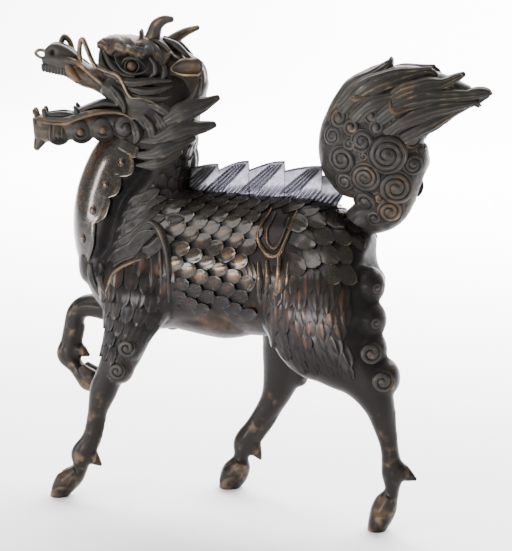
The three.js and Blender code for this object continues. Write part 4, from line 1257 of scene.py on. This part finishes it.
plume = {
    "near": [  # line of [x, y, z], half width and half thickness
        [[[15.4, -2, 78.6], [17.3, -2.4, 84], [20.8, -2.2, 87.8], [24.4, -1.4, 90.2], [26.4, -0.6, 92.2]],
         2.4, 2.2],
        [[[18.4, -4.4, 83.2], [21.6, -5.2, 86.4], [25.6, -4.8, 88.8], [29.8, -3.4, 90.2],
          [34.6, -1.8, 91.4]], 2.5, 1.5],
        [[[27, -5.4, 85], [30.2, -4.8, 87.2], [34, -3.6, 88.2], [37.2, -2.6, 88.8], [40.4, -1.6, 90.4]],
         1.9, 1.3],
        [[[25.6, -5.9, 81.8], [29.4, -5.7, 84.6], [34.1, -4.2, 86.2], [38.6, -2.6, 86.4],
          [45.6, -0.8, 87]], 2.1, 1.4],
        [[[27, -5.8, 79.4], [30.8, -5.4, 82.2], [35, -4.2, 83.9], [39, -2.8, 84.7], [43.8, -1, 85.4]],
         1.9, 1.3],
        [[[28, -5, 77.2], [32.4, -4.4, 79.8], [37, -3, 82.3], [41.2, -1.4, 84.5]], 1.8, 1.3],
        [[[20.8, -5.9, 81.6], [23.6, -6.1, 84.4], [27, -5.7, 85.8], [31, -4.9, 86.6]], 1.9, 1.0],
    ],
    "middle": [
        [[[17.4, 0, 82.6], [20.4, 0, 88], [26.2, 0, 91.8]], 2.2, 2.4],
        [[[34, 0, 83.4], [40, 0, 85], [45.2, 0, 86.7]], 2.1, 1.8],
        [[[26, 0, 87.4], [31, 0, 88.8], [35.6, 0, 88.8]], 2.2, 2.2],
    ],
    "peaks": [
        [[19.8, -4.8, 87.2], [20.5, -6.2, 86], [21.6, -6.6, 85.9], [23.4, -6.3, 86.4]],
        [[27.8, -6.2, 85.8], [28.4, -7, 84.2], [29.4, -7.1, 83.8], [31.4, -6.4, 84.3]],
    ],
    "forks": [  # small curled ends that split from the locks: line and half width
        [[[23.6, -1, 90.6], [25.4, -0.8, 91.8], [26.4, -0.6, 92.6], [26.4, -0.5, 93.2]], 0.75],
        [[[31.6, -2.6, 90.6], [33.6, -2, 91.1], [35, -1.8, 91], [35.8, -1.6, 90.5]], 0.7],
        [[[36, -2.8, 88.2], [38, -2.2, 88.3], [39.2, -1.8, 87.9]], 0.8],
        [[[36.8, -2.4, 88.9], [38.8, -1.8, 89.9], [40.2, -1.6, 90.3]], 0.6],
        [[[41, -1.8, 86.8], [43.4, -1.2, 87.5], [45.2, -0.8, 87.5], [46, -0.6, 86.9]], 0.7],
        [[[40.6, -1.6, 85.3], [42.8, -1.2, 85.1], [43.9, -1, 84.5]], 0.65],
    ],
}


def plumeLocks():
    # broad grooved ribbons, thin peaks and forked tips, mirrored to the far side, and the middle row
    made = []
    for k, (line, half, thin) in enumerate(plume["near"]):
        made.append(strand(line, half, thin, grooves=11, sides=77, rings=32, root=0.8, tip=0.26,
                           fullest=0.4, grooveDepth=0.1, caps=(0.3, 0.7), wave=0.07, phase=k,
                           relief=0.62, tone=0.2 + 0.12 * (k % 3)))
    for line in plume["peaks"]:
        made.append(strand(line, 0.7, 0.8, root=0.4, tip=0.3, fullest=0.5, grooves=3, sides=24, relief=0.58,
                           tone=0.75, rings=30))
    for line, half in plume["forks"]:
        made.append(strand(line, half, half, root=1, tip=0.35, fullest=0.2, grooves=3, sides=20, rings=24,
                           relief=0.56, tone=0.3))
    made += [mirrored(lock) for lock in made]
    for line, half, thin in plume["middle"]:
        made.append(strand(line, half, thin, grooves=7, sides=56, root=0.9, tip=0.36, grooveDepth=0.12,
                           wave=0.06))
    return made


addPiece("tail", [tailSkin], lockBronze, sharp=60)
addPiece("tail_curls", tailCurls(), lockBronze, sharp=60)
addPiece("tail_plume", plumeLocks(), lockBronze)

# The head: skull, snout and jaws run together, with sockets and nostrils cut into them. Its places
# are [ahead, out, up] from the poll, and out is on both sides.
headForms = {
    "cheek": [[[8.4, 3.4, 86.4], [4, 4, 84.4], [-0.6, 4.4, 83.4], [-4.6, 4.2, 83.2]], 2.5, 1.9],
    "jawJoint": [[[3.6, 3.8, 80.6], [-0.6, 4.2, 80], [-4.8, 4, 80.8]], 2.7, 1.8],
    "nose": [[[20.2, 1.1, 92.3], [18.8, 1.4, 93.3], [17, 1.5, 93.1], [14.8, 1.5, 91.9]], 1.4, 1.2],
    "cheekbone": [[[8.6, 4.2, 89.2], [5.2, 5, 88.2], [1.2, 5.4, 88], [-2.6, 5.2, 88.4]], 0.9, 0.9],
    "upperLip": [[[21.2, 1.1, 91.2], [19.5, 2.2, 91.7], [17.4, 2.8, 91.5], [15.4, 3.1, 91.4],
                  [13.4, 3.5, 90.6], [11.4, 4, 88.9], [9.4, 4.4, 87.2], [7.4, 4.6, 85.3],
                  [6, 4.6, 82.8]], 0.6, 0.6],
    "lowerLip": [[[22.6, 1.3, 79.6], [19.4, 2.3, 79.4], [16.5, 2.9, 79.4], [13.7, 3.2, 80.3],
                  [9.9, 3.7, 81.2], [6, 4.2, 81.2], [3.2, 4.5, 80.4]], 0.7, 0.6],
    "browRoot": [[[8.4, 0.8, 92.5], [6.6, 2.2, 92.6], [3.6, 2.8, 93], [0.6, 3, 93.2]], 1.3, 1.3],
    "jawBand": [[[22.2, 1.5, 77.2], [18, 2.2, 77.2], [13.4, 2.5, 77.6], [9, 2.8, 78], [4, 3.2, 78.2],
                 [-1, 3.6, 78.5]], 2.2, 0.9],
}
headPits = [
    # place, radius and depth of each hollow
    [[3, 4.9, 90.4], 2.5, 0.0044], [[19, 2.4, 93], 0.6, 0.0026], [[9.4, 4, 90.4], 1.6, 0.0016],
    [[-1.8, 5.2, 90.2], 2.3, 0.0034], [[5.6, 4.9, 84.6], 1.5, 0.0018], [[-5.2, 5.4, 86.4], 1.6, 0.0026],
]


def headBall(place, radius, squash=(1, 1, 1), **more):
    # a ball at a place of the head, its radius in shares
    return ball(toMetres(headPlaces(place)), radius * share, squash, **more)


def headBase():
    # skull and lower jaw, with the smaller forms of the face on both sides
    parts = [sweptLimb(skull, 60, 40), sweptLimb(lowerJaw, 50, 32)]
    for line, half, thin in headForms.values():
        parts += headPair(line, half, thin, root=0.8, tip=0.7, rings=40, sides=20)
    return parts


def carveHead(points, normals):
    # each pit is minus its depth times exp of minus the squared distance in radii
    cut = np.zeros(len(points))
    for place, radius, depth in headPits:
        for side in (near, far):
            pit = toMetres(headPlaces(onHead([place], side)))
            cut -= depth * bump(np.linalg.norm(points - pit, axis=1) / share, 0, radius)
    return cut


headSkin = remeshed(headBase(), figure["headVoxel"], smoothing=7, carve=carveHead)
addPiece("head", [headSkin], headBronze, sharp=60)

brow = {
    "crown": [[10.3, 94.6], [9, 95.6], [6.6, 96.2], [1.6, 95.9], [-2.3, 95.8], [-5.2, 94.1], [-8.2, 91.9]],
    "edge": [[10.3, 0.1, 94.3], [9.1, 1.9, 93.6], [7.8, 3.5, 92.8], [5.7, 4.7, 93.4], [3.9, 5.4, 93.1],
             [2.3, 5.8, 92.8], [0.9, 6, 92.3], [-0.7, 5.9, 93.4], [-2, 5.9, 91.8], [-3.4, 5.7, 91.1],
             [-4.6, 5.1, 92.6], [-6.2, 4.2, 91.8], [-8, 2.8, 90.6]],
    "thickness": 0.5,  # shares
    "studs": [[5.6, 3.8, 94.5, 0.5], [1.6, 3.9, 94.7, 0.62]],
    "peg": [[1.3, 1.6, 95.2], [1.3, 1.7, 96.2], [1.4, 1.7, 96.9]],
    "folds": [  # over the eye, down the cape and behind the horns
        [[[9.6, 0.9, 94.6], [6.6, 3.2, 94.5], [3.2, 4.6, 94.2], [0.4, 5.2, 93.9]], 0.45],
        [[[-0.2, 3.6, 95.4], [-1.8, 5, 94], [-3.2, 5.7, 91.8]], 0.55],
        [[[-3, 1.7, 95.5], [-5.6, 2.7, 94.3], [-8.6, 3.5, 91.8]], 0.85],
        [[[0.6, 1.2, 95.7], [-1, 3, 95.5], [-3.4, 4.4, 94.4], [-5.2, 4.8, 92.6]], 0.5],
    ],
}


def browPlate():
    # across: from one edge over the crown to the other, out by a power of v and up by a power of
    # 1 - |v|^2.6
    rows, columns = 110, 48
    u = np.linspace(0, 1, rows)
    crown = splineThrough(brow["crown"], u)
    edge = splineThrough(brow["edge"], u)
    v = np.linspace(-1, 1, columns)[None, :]
    away = np.abs(v)
    lift = (1 - away**2.6) ** 0.85
    ahead = crown[:, :1] + (edge[:, :1] - crown[:, :1]) * away
    out = edge[:, 1:2] * np.sign(v) * away**0.85
    up = edge[:, 2:3] + (crown[:, 1:2] - edge[:, 2:3]) * lift
    wrinkle = 0.2 * np.sin(ahead * 1.9 + away * 3.4) * (1 - away**4) * smoothStep(away, 0.1, 0.5)
    wrinkle = wrinkle + 0.09 * np.sin(ahead * 4.3 - v * 5) * np.sin(v * 9 + ahead)
    rim = smoothStep(away, 0.78, 0.92)
    ragged = 0.2 * np.sin(ahead * 2.3) + 0.1 * np.sin(ahead * 5.1 + 1)
    outer = headPlaces(np.stack([ahead, out * (1 + 0.07 * rim), up + wrinkle + (0.14 + ragged) * rim], -1))
    inner = headPlaces(np.stack([ahead, out * 0.92, up - brow["thickness"] + ragged * rim], -1))
    rings = toMetres(np.concatenate([outer, inner[:, ::-1]], axis=1))
    relief = np.clip(0.48 + 0.42 * rim + 1.2 * wrinkle, 0, 1)
    # the under side gets low relief: painted shade under the brow
    relief = np.concatenate([relief, np.full((rows, columns), 0.15)], axis=1)
    return closedNet(rings, rings[0].mean(0), rings[-1].mean(0), relief, 0.6)


browPieces = [browPlate()] + headPair(brow["peg"], 0.42, root=1, tip=0.9)
for ahead, out, up, radius in brow["studs"]:
    for side in (near, far):
        stud = headBall([ahead, side * out, up], radius, (1.15, 1, 0.9), relief=0.8, tone=0.9)
        browPieces.append(stud)
for line, half in brow["folds"]:
    browPieces += headPair(line, half, root=0.5, tip=0.35, fullest=0.5, relief=0.55, tone=0.4)
addPiece("brow", browPieces, headBronze, sharp=50)

ear = {
    "line": [[-4.5, 5, 89.9], [-6.6, 6.2, 90.4], [-8.9, 6.8, 90.5], [-11.1, 6.9, 90.5]],
    "half": 1.7,
    "depth": 1.7,
    "thickness": 0.36,
    "farDroop": 1.8,
}


def earCup(side):
    # a bowl along its line: the back is out = -depth cos, the hollow the same less its thickness
    rows, columns = 40, 26
    u = np.linspace(0.02, 0.985, rows)[:, None]
    angle = np.linspace(-np.pi / 2, np.pi / 2, columns)[None, :]
    line = splineThrough(ear["line"], u[:, 0]) - [0, 0, ear["farDroop"] if side == far else 0]
    grow = np.sin(np.pi / 2 * np.clip(u / 0.5, 0, 1)) ** 0.8
    grow = grow * np.sqrt(1 - (np.clip(u - 0.8, 0, 1) / 0.2) ** 2 * 0.98)
    half = ear["half"] * grow + 0.08

    def shell(less):
        # half an ellipse across each row: out by depth * cos and up by height * sin, less the wall
        depth = np.maximum(ear["depth"] * grow - less, 0.02)
        tall = np.maximum(half - less, 0.04)
        out = line[:, 1:2] + 0.1 - depth * np.cos(angle)
        up = line[:, 2:3] + tall * np.sin(angle)
        return headPlaces(np.stack([line[:, :1] + 0 * angle, side * out, up], -1))

    rings = toMetres(np.concatenate([shell(0), shell(ear["thickness"])[:, ::-1]], axis=1))
    rim = smoothStep(np.abs(angle), 1.25, 1.5) + 0 * u
    relief = np.concatenate([0.45 + 0.45 * rim, (0.5 + 0.4 * rim)[:, ::-1]], axis=1)
    return closedNet(rings, rings[0].mean(0), rings[-1].mean(0), relief, 0.62)


addPiece("ears", [earCup(near), earCup(far)], headBronze, sharp=50)

horns = [
    # line, half width and side
    [[[-0.5, 1.6, 94.6], [-1.2, 1.9, 96.5], [-1.9, 2.3, 98.3], [-3.3, 2.7, 99.3], [-4.8, 2.9, 99.5]],
     1.55, near],
    [[[-3.2, 1.4, 93.5], [-4.9, 1.9, 95], [-7.3, 2.6, 96.4], [-9.8, 3.1, 97.3]], 1.3, far],
]
hornPieces = [
    headStrand(onHead(line, side), half, half, root=1.25, tip=0.42, fullest=0.1, grooves=5, sides=40,
               rings=44, grooveDepth=0.05, relief=0.66, tone=0.6, caps=(0.3, 0.8))
    for line, half, side in horns
]
addPiece("horns", hornPieces, headBronze)

eye = {
    "place": [3, 4.6, 90.5],
    "ball": 1.0,
    "ring": 1.4,
    "wire": 0.17,
    "lid": [[5.2, 4.5, 90.7], [4.1, 5.1, 92], [1.9, 5.2, 92], [0.2, 4.9, 90.3]],
}
eyePieces = headPair(eye["lid"], 0.36, 0.4, root=0.5, tip=0.4, fullest=0.5, rings=30, relief=0.34, tone=0.2)
for side in (near, far):
    centre = toMetres(headPlaces(onHead([eye["place"]], side)))[0]
    outward = acrossHead * side
    ring, wire = eye["ring"] * share, eye["wire"] * share
    eyePieces.append(ball(centre, eye["ball"] * share, relief=0.6, tone=0.62, rows=18, columns=30))
    eyePieces.append(hoop(centre + outward * 0.25 * share, outward, ring, wire, relief=0.36, columns=40))
addPiece("eyes", eyePieces, headBronze)

whiskers = [
    # line, half the wire's thickness and side: the near loop and its end along the cheek, the far
    # loop, and the ring at the nose
    [[[13.4, 2.6, 90.6], [13.5, 3.1, 93.2], [13.2, 3.6, 95.2], [12.6, 4.1, 95.6], [11.9, 4.5, 94],
      [10.9, 4.8, 91.6], [10, 5, 90.2]], 0.52, near],
    [[[10.2, 5, 90.4], [8.3, 5.4, 89.6], [5.9, 5.9, 88.8], [4.9, 6.2, 87.5], [4, 6.3, 85.6],
      [3, 6.4, 84.4], [0.8, 6.7, 84.3], [-1.2, 6.8, 83.5], [-4.1, 6.8, 81.4]], 0.36, near],
    [[[17.8, 2, 92.4], [17.7, 2.3, 94.2], [17, 2.6, 95.5], [16, 2.7, 94.6], [15.2, 2.8, 92.2]], 0.62, far],
    [[[19.6, 1.6, 92.8], [21.4, 1.3, 93.3], [22.4, 0.7, 92.8], [22.3, 0.4, 92.2], [21.2, 1, 91.7],
      [19.6, 1.8, 91.9]], 0.36, near],
]
whiskerPieces = [
    headStrand(onHead(line, side), wire, wire, root=1, tip=0.85, fullest=0.5, relief=0.74, tone=0.6,
               sides=12, rings=90)
    for line, wire, side in whiskers
]
addPiece("whiskers", whiskerPieces, wireBronze)

mouth = {
    "teeth": [[20.9, 1.5, 90.5], [15.9, 2.9, 89.6], 9],  # the first, the last and how many
    "toothLength": 1.35,
    "toothHalf": 0.46,
    "gum": [[[16, 2.5, 90.3], [15.2, 2.9, 88.9], [13.8, 3.1, 87.5]], 1.0],
    "fang": [[[14.2, 2.5, 80.2], [14.4, 2.6, 81.2], [14.8, 2.6, 82.1]], 0.6],
    "knobs": [[[22.4, 1.2, 79.2], [22.7, 1.2, 80.4], [23, 1.2, 81.1]],
              [[20.6, 1.8, 79.2], [20.9, 1.8, 80.6], [21, 1.8, 81.3]],
              [[14.4, 2.2, 87.7], [14.3, 2.2, 87.3], [14.2, 2.2, 87.1]]],
    "lip": [[22.2, 1.7, 79], [19.4, 2.7, 78.7], [16.5, 3.3, 78.8], [13.7, 3.7, 79.9], [9.9, 4.2, 81],
            [6, 4.8, 81.2], [3.2, 5.2, 80.3], [1.2, 5.4, 79.9], [-1.5, 5.7, 81.2]],
    "hump": [[[21, 1.2, 80], [17.6, 1.5, 80.3], [14.8, 1.6, 80.1], [12.4, 1.6, 81.2]], 0.75],
}


def mouthPieces():
    # the tongue, teeth evenly along a line, gums, fangs and the lip's edge
    made = [sweptLimb(tongue, 40, 24)]
    length = mouth["toothLength"]
    for place in np.linspace(*mouth["teeth"]):
        drop = [place, place - [0, 0, 0.7 * length], place - [0.05, 0, length]]
        made += headPair(drop, mouth["toothHalf"], 0.34, rings=8, sides=10, root=1, tip=0.7, tone=0.3)
    for key, tone in (("gum", 0.9), ("fang", 0.4), ("hump", 0.4)):
        line, half = mouth[key]
        made += headPair(line, half, half * 0.8, root=0.8, tip=0.5, rings=20, tone=tone)
    made += headPair(mouth["lip"], 0.34, 0.3, root=0.9, tip=0.6, rings=70, sides=10, relief=0.76, tone=0.9)
    for line in mouth["knobs"]:
        made += headPair(line, 0.55, 0.5, root=0.8, tip=0.9, fullest=0.7, rings=12, relief=0.6)
    return made


addPiece("mouth", mouthPieces(), headBronze)

# The side of the lower jaw: ridges at its front, then lobes that hang side by side.
jaw = {
    "lobes": [[18.1, 2.3, 76.6, 2.4], [13.5, 2.6, 77.2, 2.6], [9, 3, 77.6, 2.6], [4.4, 4.3, 78.2, 2.6],
              [0.2, 5.2, 79.2, 2.3]],
    "ridges": [19.6, 18.8, 18, 17.2],
    "beard": [[21.4, 0, 79.2], [21.6, 0, 76.4], [22.8, 0, 73.5]],
}


def jawPieces():
    # the beard, ridges on its sides and round lobes, two of them with a bead in a ring
    made = [headStrand(jaw["beard"], 2.1, 2.3, root=1.05, tip=0.35, grooves=4, sides=40, grooveDepth=0.1,
                       fullest=0.2)]
    for ahead in jaw["ridges"]:
        ridge = [[ahead, 2.7, 78.4], [ahead + 0.1, 3.1, 76.6], [ahead + 0.2, 2.4, 74.9]]
        made += headPair(ridge, 0.32, 0.4, rings=14, sides=12, relief=0.7, tone=0.6)
    for side in (near, far):
        outward = acrossHead * side
        for k, (*place, radius) in enumerate(jaw["lobes"]):
            centre = toMetres(headPlaces(onHead([place], side)))[0]
            made.append(curl(centre, outward, [0, 0, -1], radius * share, turns=0.02 if k < 3 else 1.4,
                             high=0.46, spin=side, columns=36, tone=0.35))
            if 0 < k < 3:
                bead = centre + outward * 0.42 * radius * share
                made.append(ball(bead, 0.0031, relief=0.72, tone=0.85, rows=10, columns=18))
                made.append(hoop(bead - outward * 0.0014, outward, 0.0054, 0.0011, relief=0.5))
    return made


addPiece("jaw_lobes", jawPieces(), headBronze)

# Hair: tufts on the cheek, the mane's locks and the crest down the nape, all in the head's frame.
hair = {
    "face": [  # folds before, under and behind the eye
        [[[9.4, 0.8, 93.4], [9.3, 2.2, 92.2], [9.1, 3.3, 91], [8.2, 4.2, 89.8], [6.4, 5, 88.9]], 0.75,
         0.75],
        [[[8.8, 3, 93.2], [8, 4, 91.9], [6.9, 4.7, 90.3], [5, 5.3, 88.9], [2.6, 5.6, 88.5]], 0.62, 0.6],
        [[[6.4, 4.4, 92.6], [5.9, 4.8, 91.2], [5, 5.1, 89.9], [3.2, 5.4, 89], [1, 5.5, 89.2],
          [-0.4, 5.5, 90.2]], 0.32, 0.3],
        [[[-0.6, 5.4, 92.2], [-1.6, 5.5, 90.8], [-1.6, 5.6, 89.4], [-0.6, 5.7, 88.4]], 0.6, 0.6],
        [[[-2.6, 5.2, 91.6], [-3.4, 5.3, 90.2], [-3.4, 5.5, 88.8], [-2.6, 5.7, 87.6]], 0.6, 0.6],
    ],
    "cheek": [
        [[[6, 5.3, 87.8], [3.9, 5.9, 87.3], [1.2, 6.1, 87.4], [-1.6, 6, 87.7], [-4.6, 5.7, 87.6]], 0.9,
         0.8],
        [[[4.2, 5.6, 86.4], [2.2, 6.1, 85.9], [-0.2, 6.2, 85.6], [-2.9, 6.1, 86], [-4.8, 5.7, 86.6]], 0.9,
         0.8],
        [[[3.2, 5.6, 84.9], [0.6, 6.1, 84.4], [-2.2, 6.2, 84.2], [-5, 5.8, 84.6]], 0.8, 0.8],
        [[[3, 5.4, 79.6], [2.2, 6.2, 78.2], [2, 6.4, 76.6], [2.6, 6, 75.2]], 1.2, 0.9],
        [[[0.8, 5.8, 80.6], [-0.6, 6.4, 78.8], [-1, 6.5, 77], [-0.4, 6.2, 75.4]], 1.25, 0.9],
        [[[-1.6, 6, 81.2], [-3, 6.5, 79.6], [-3.6, 6.5, 78], [-3.2, 6.3, 76.8]], 1.2, 0.9],
        [[[-0.4, 5.9, 83], [-2.6, 6.4, 82.4], [-4.6, 6.4, 81], [-5.6, 6.2, 79.6]], 1.2, 0.9],
        [[[7.2, 4.8, 86.4], [5.8, 5.3, 84.8], [4.8, 5.5, 83], [4.6, 5.3, 81.4]], 1.1, 0.8],
    ],
    "mane": [
        [[[-5.2, 6, 82], [-7.4, 6.4, 82.5], [-9.4, 5.9, 84.6], [-10.6, 5, 88]], 1.1, 1.0],
        [[[0.2, 6, 77.6], [-3.3, 6.6, 79.4], [-6.3, 6.9, 81], [-9, 6.5, 82.4], [-11.4, 5.6, 83.1],
          [-14, 4.8, 84.2]], 2.3, 1.2],
        [[[1.8, 6, 75.6], [-1.9, 6.9, 76], [-4.6, 7.2, 77.2], [-7.6, 6.9, 78.4], [-10.4, 6, 78.4],
          [-13.3, 5.2, 78.9]], 2.3, 1.2],
        [[[3.4, 6.2, 73], [-0.2, 7.2, 73], [-3.4, 7.5, 74], [-6.4, 7.1, 75.2], [-9.3, 6.3, 76.4]], 1.9,
         1.1],
        [[[2.4, 6.8, 70.9], [-0.8, 7.5, 71.2], [-3.8, 7.4, 72], [-6.6, 6.8, 73.6]], 1.5, 1.0],
    ],
    "nape": [
        [[[-7.2, 0, 90.9], [-9.3, 0, 89.1], [-9.8, 0, 86], [-9.5, 0, 82.4]], 2.3, 3.6],
        [[[-7, 0, 83.6], [-8, 0, 80.4], [-8.2, 0, 77.4]], 2.4, 3.4],
        [[[-6.2, 0, 79.4], [-7.4, 0, 76.2], [-7.9, 0, 73.2]], 2.6, 3.4],
        [[[-5.4, 0, 75], [-7.3, 0, 72], [-7.8, 0, 69]], 2.8, 3.4],
    ],
}


def hairPieces():
    # the locks of face, cheeks, mane and nape
    made = []
    for line, half, thin in hair["face"]:
        made += headPair(line, half, thin, rings=30, root=0.5, tip=0.4, fullest=0.5, relief=0.45, tone=0.3)
    for line, half, thin in hair["cheek"]:
        made += headPair(line, half, thin, grooves=5, sides=36, rings=30, root=0.5, tip=0.3,
                         grooveDepth=0.16, tone=0.4)
    for side, droop in ((near, 0), (far, ear["farDroop"])):
        for k, (line, half, thin) in enumerate(hair["mane"]):
            placed = np.array(onHead(line, side)) + [droop / 2, 0, -droop]
            made.append(headStrand(placed, half, thin, grooves=9, sides=54, rings=40, root=0.15, tip=0.28,
                                   fullest=0.45, grooveDepth=0.1, caps=(0.2, 0.8), wave=0.05, phase=k,
                                   relief=0.56, tone=0.3))
    for line, half, thin in hair["nape"]:
        made.append(headStrand(line, half, thin, grooves=8, sides=56, rings=26, root=0.8, tip=0.72,
                               grooveDepth=0.12, caps=(0.3, 0.4)))
    return made


addPiece("hair", hairPieces(), lockBronze)

# The pale floor turns up into a backdrop behind the figure.
studio = {"bend": 0.9, "back": 2.2, "white": 0.86}


def sweep():
    # z = 0 up to the bend, a quarter circle, then straight up
    quarter = np.linspace(0, np.pi / 2, 24)
    back, bend = studio["back"], studio["bend"]
    y = np.concatenate([[-4.0], back + bend * np.sin(quarter), [back + bend]])
    z = np.concatenate([[0.0], bend * (1 - np.cos(quarter)), [4.5]])
    points = np.stack([np.repeat([-4.0, 4.0], len(y)), np.tile(y, 2), np.tile(z, 2)], -1)
    k = np.arange(len(y) - 1)
    quads = np.stack([k, k + len(y), k + len(y) + 1, k + 1], -1)
    mesh = bpy.data.meshes.new("floor")
    mesh.from_pydata(points.tolist(), [], quads.tolist())
    mesh.polygons.foreach_set("use_smooth", np.ones(len(quads), bool))
    return mesh


def floorMaterial():
    # a pale ground whose tint drifts with a broad noise
    material = bpy.data.materials.new("studio_floor")
    material.use_nodes = True
    tree = material.node_tree
    shader = tree.nodes["Principled BSDF"]
    place = node(tree, "TexCoord").outputs["Object"]
    grain = node(tree, "TexNoise", {"Vector": place, "Scale": 3, "Detail": 2}).outputs["Fac"]
    pale, paler = ((*(studio["white"] + np.array(more)), 1) for more in ((0, 0, 0), (0.03, 0.03, 0.025)))
    tint = node(tree, "Mix", {0: grain, 6: pale, 7: paler}, data_type="RGBA")
    tree.links.new(tint.outputs[2], shader.inputs["Base Color"])
    shader.inputs["Roughness"].default_value = 0.7
    return material


def putAt(name, data, place, target=None):
    # an object at its place, which looks at its target where it has one
    made = bpy.data.objects.new(name, data)
    made.location = place
    if target:
        made.rotation_euler = (Vector(target) - Vector(place)).to_track_quat("-Z", "Y").to_euler()
    bpy.context.scene.collection.objects.link(made)
    return made


floor = putAt("floor", sweep(), (0, 0, 0))
floor.data.materials.append(floorMaterial())

lights = [
    # name, place, width, height, power, what it points at
    ["key", (-0.9, -1.3, 1.5), 1.1, 1.1, 27, (0, 0, 0.2)],
    ["lowFront", (-0.4, -1.25, 0.08), 0.9, 0.12, 14, (0, 0, 0.21)],
    ["side", (-1.3, -0.66, 0.32), 0.16, 0.6, 12, (-0.12, 0, 0.27)],
    ["rump", (1.1, 0.6, 0.5), 0.1, 0.7, 2, (0.09, 0, 0.22)],
    ["top", (0.1, 0.2, 2.0), 1.2, 1.2, 14, (0, 0, 0.2)],
    ["backdrop", (0, 1.5, 1.5), 2.6, 0.8, 400, (0, 3.0, 0.2)],
    ["floorWash", (0, 1.1, 1.4), 2.8, 0.9, 255, (0, 1.5, 0)],
]
for name, place, width, height, power, target in lights:
    lamp = bpy.data.lights.new(name, "AREA")
    lamp.shape = "RECTANGLE"
    lamp.size, lamp.size_y, lamp.energy = width, height, power
    lamp.color = (0.98, 0.955, 0.99)
    putAt(name, lamp, place, target)

world = bpy.data.worlds.new("studio")
world.use_nodes = True
background = world.node_tree.nodes["Background"].inputs
background["Color"].default_value, background["Strength"].default_value = (1, 1, 1, 1), 0.56
bpy.context.scene.world = world

view = {"place": (0.4279, -1.3977, 0.5309), "target": (0.0006, 0, 0.1935), "lens": 121.33}
camera = putAt("camera", bpy.data.cameras.new("camera"), view["place"], view["target"])
camera.data.lens, camera.data.sensor_width = view["lens"], 36
bpy.context.scene.camera = camera
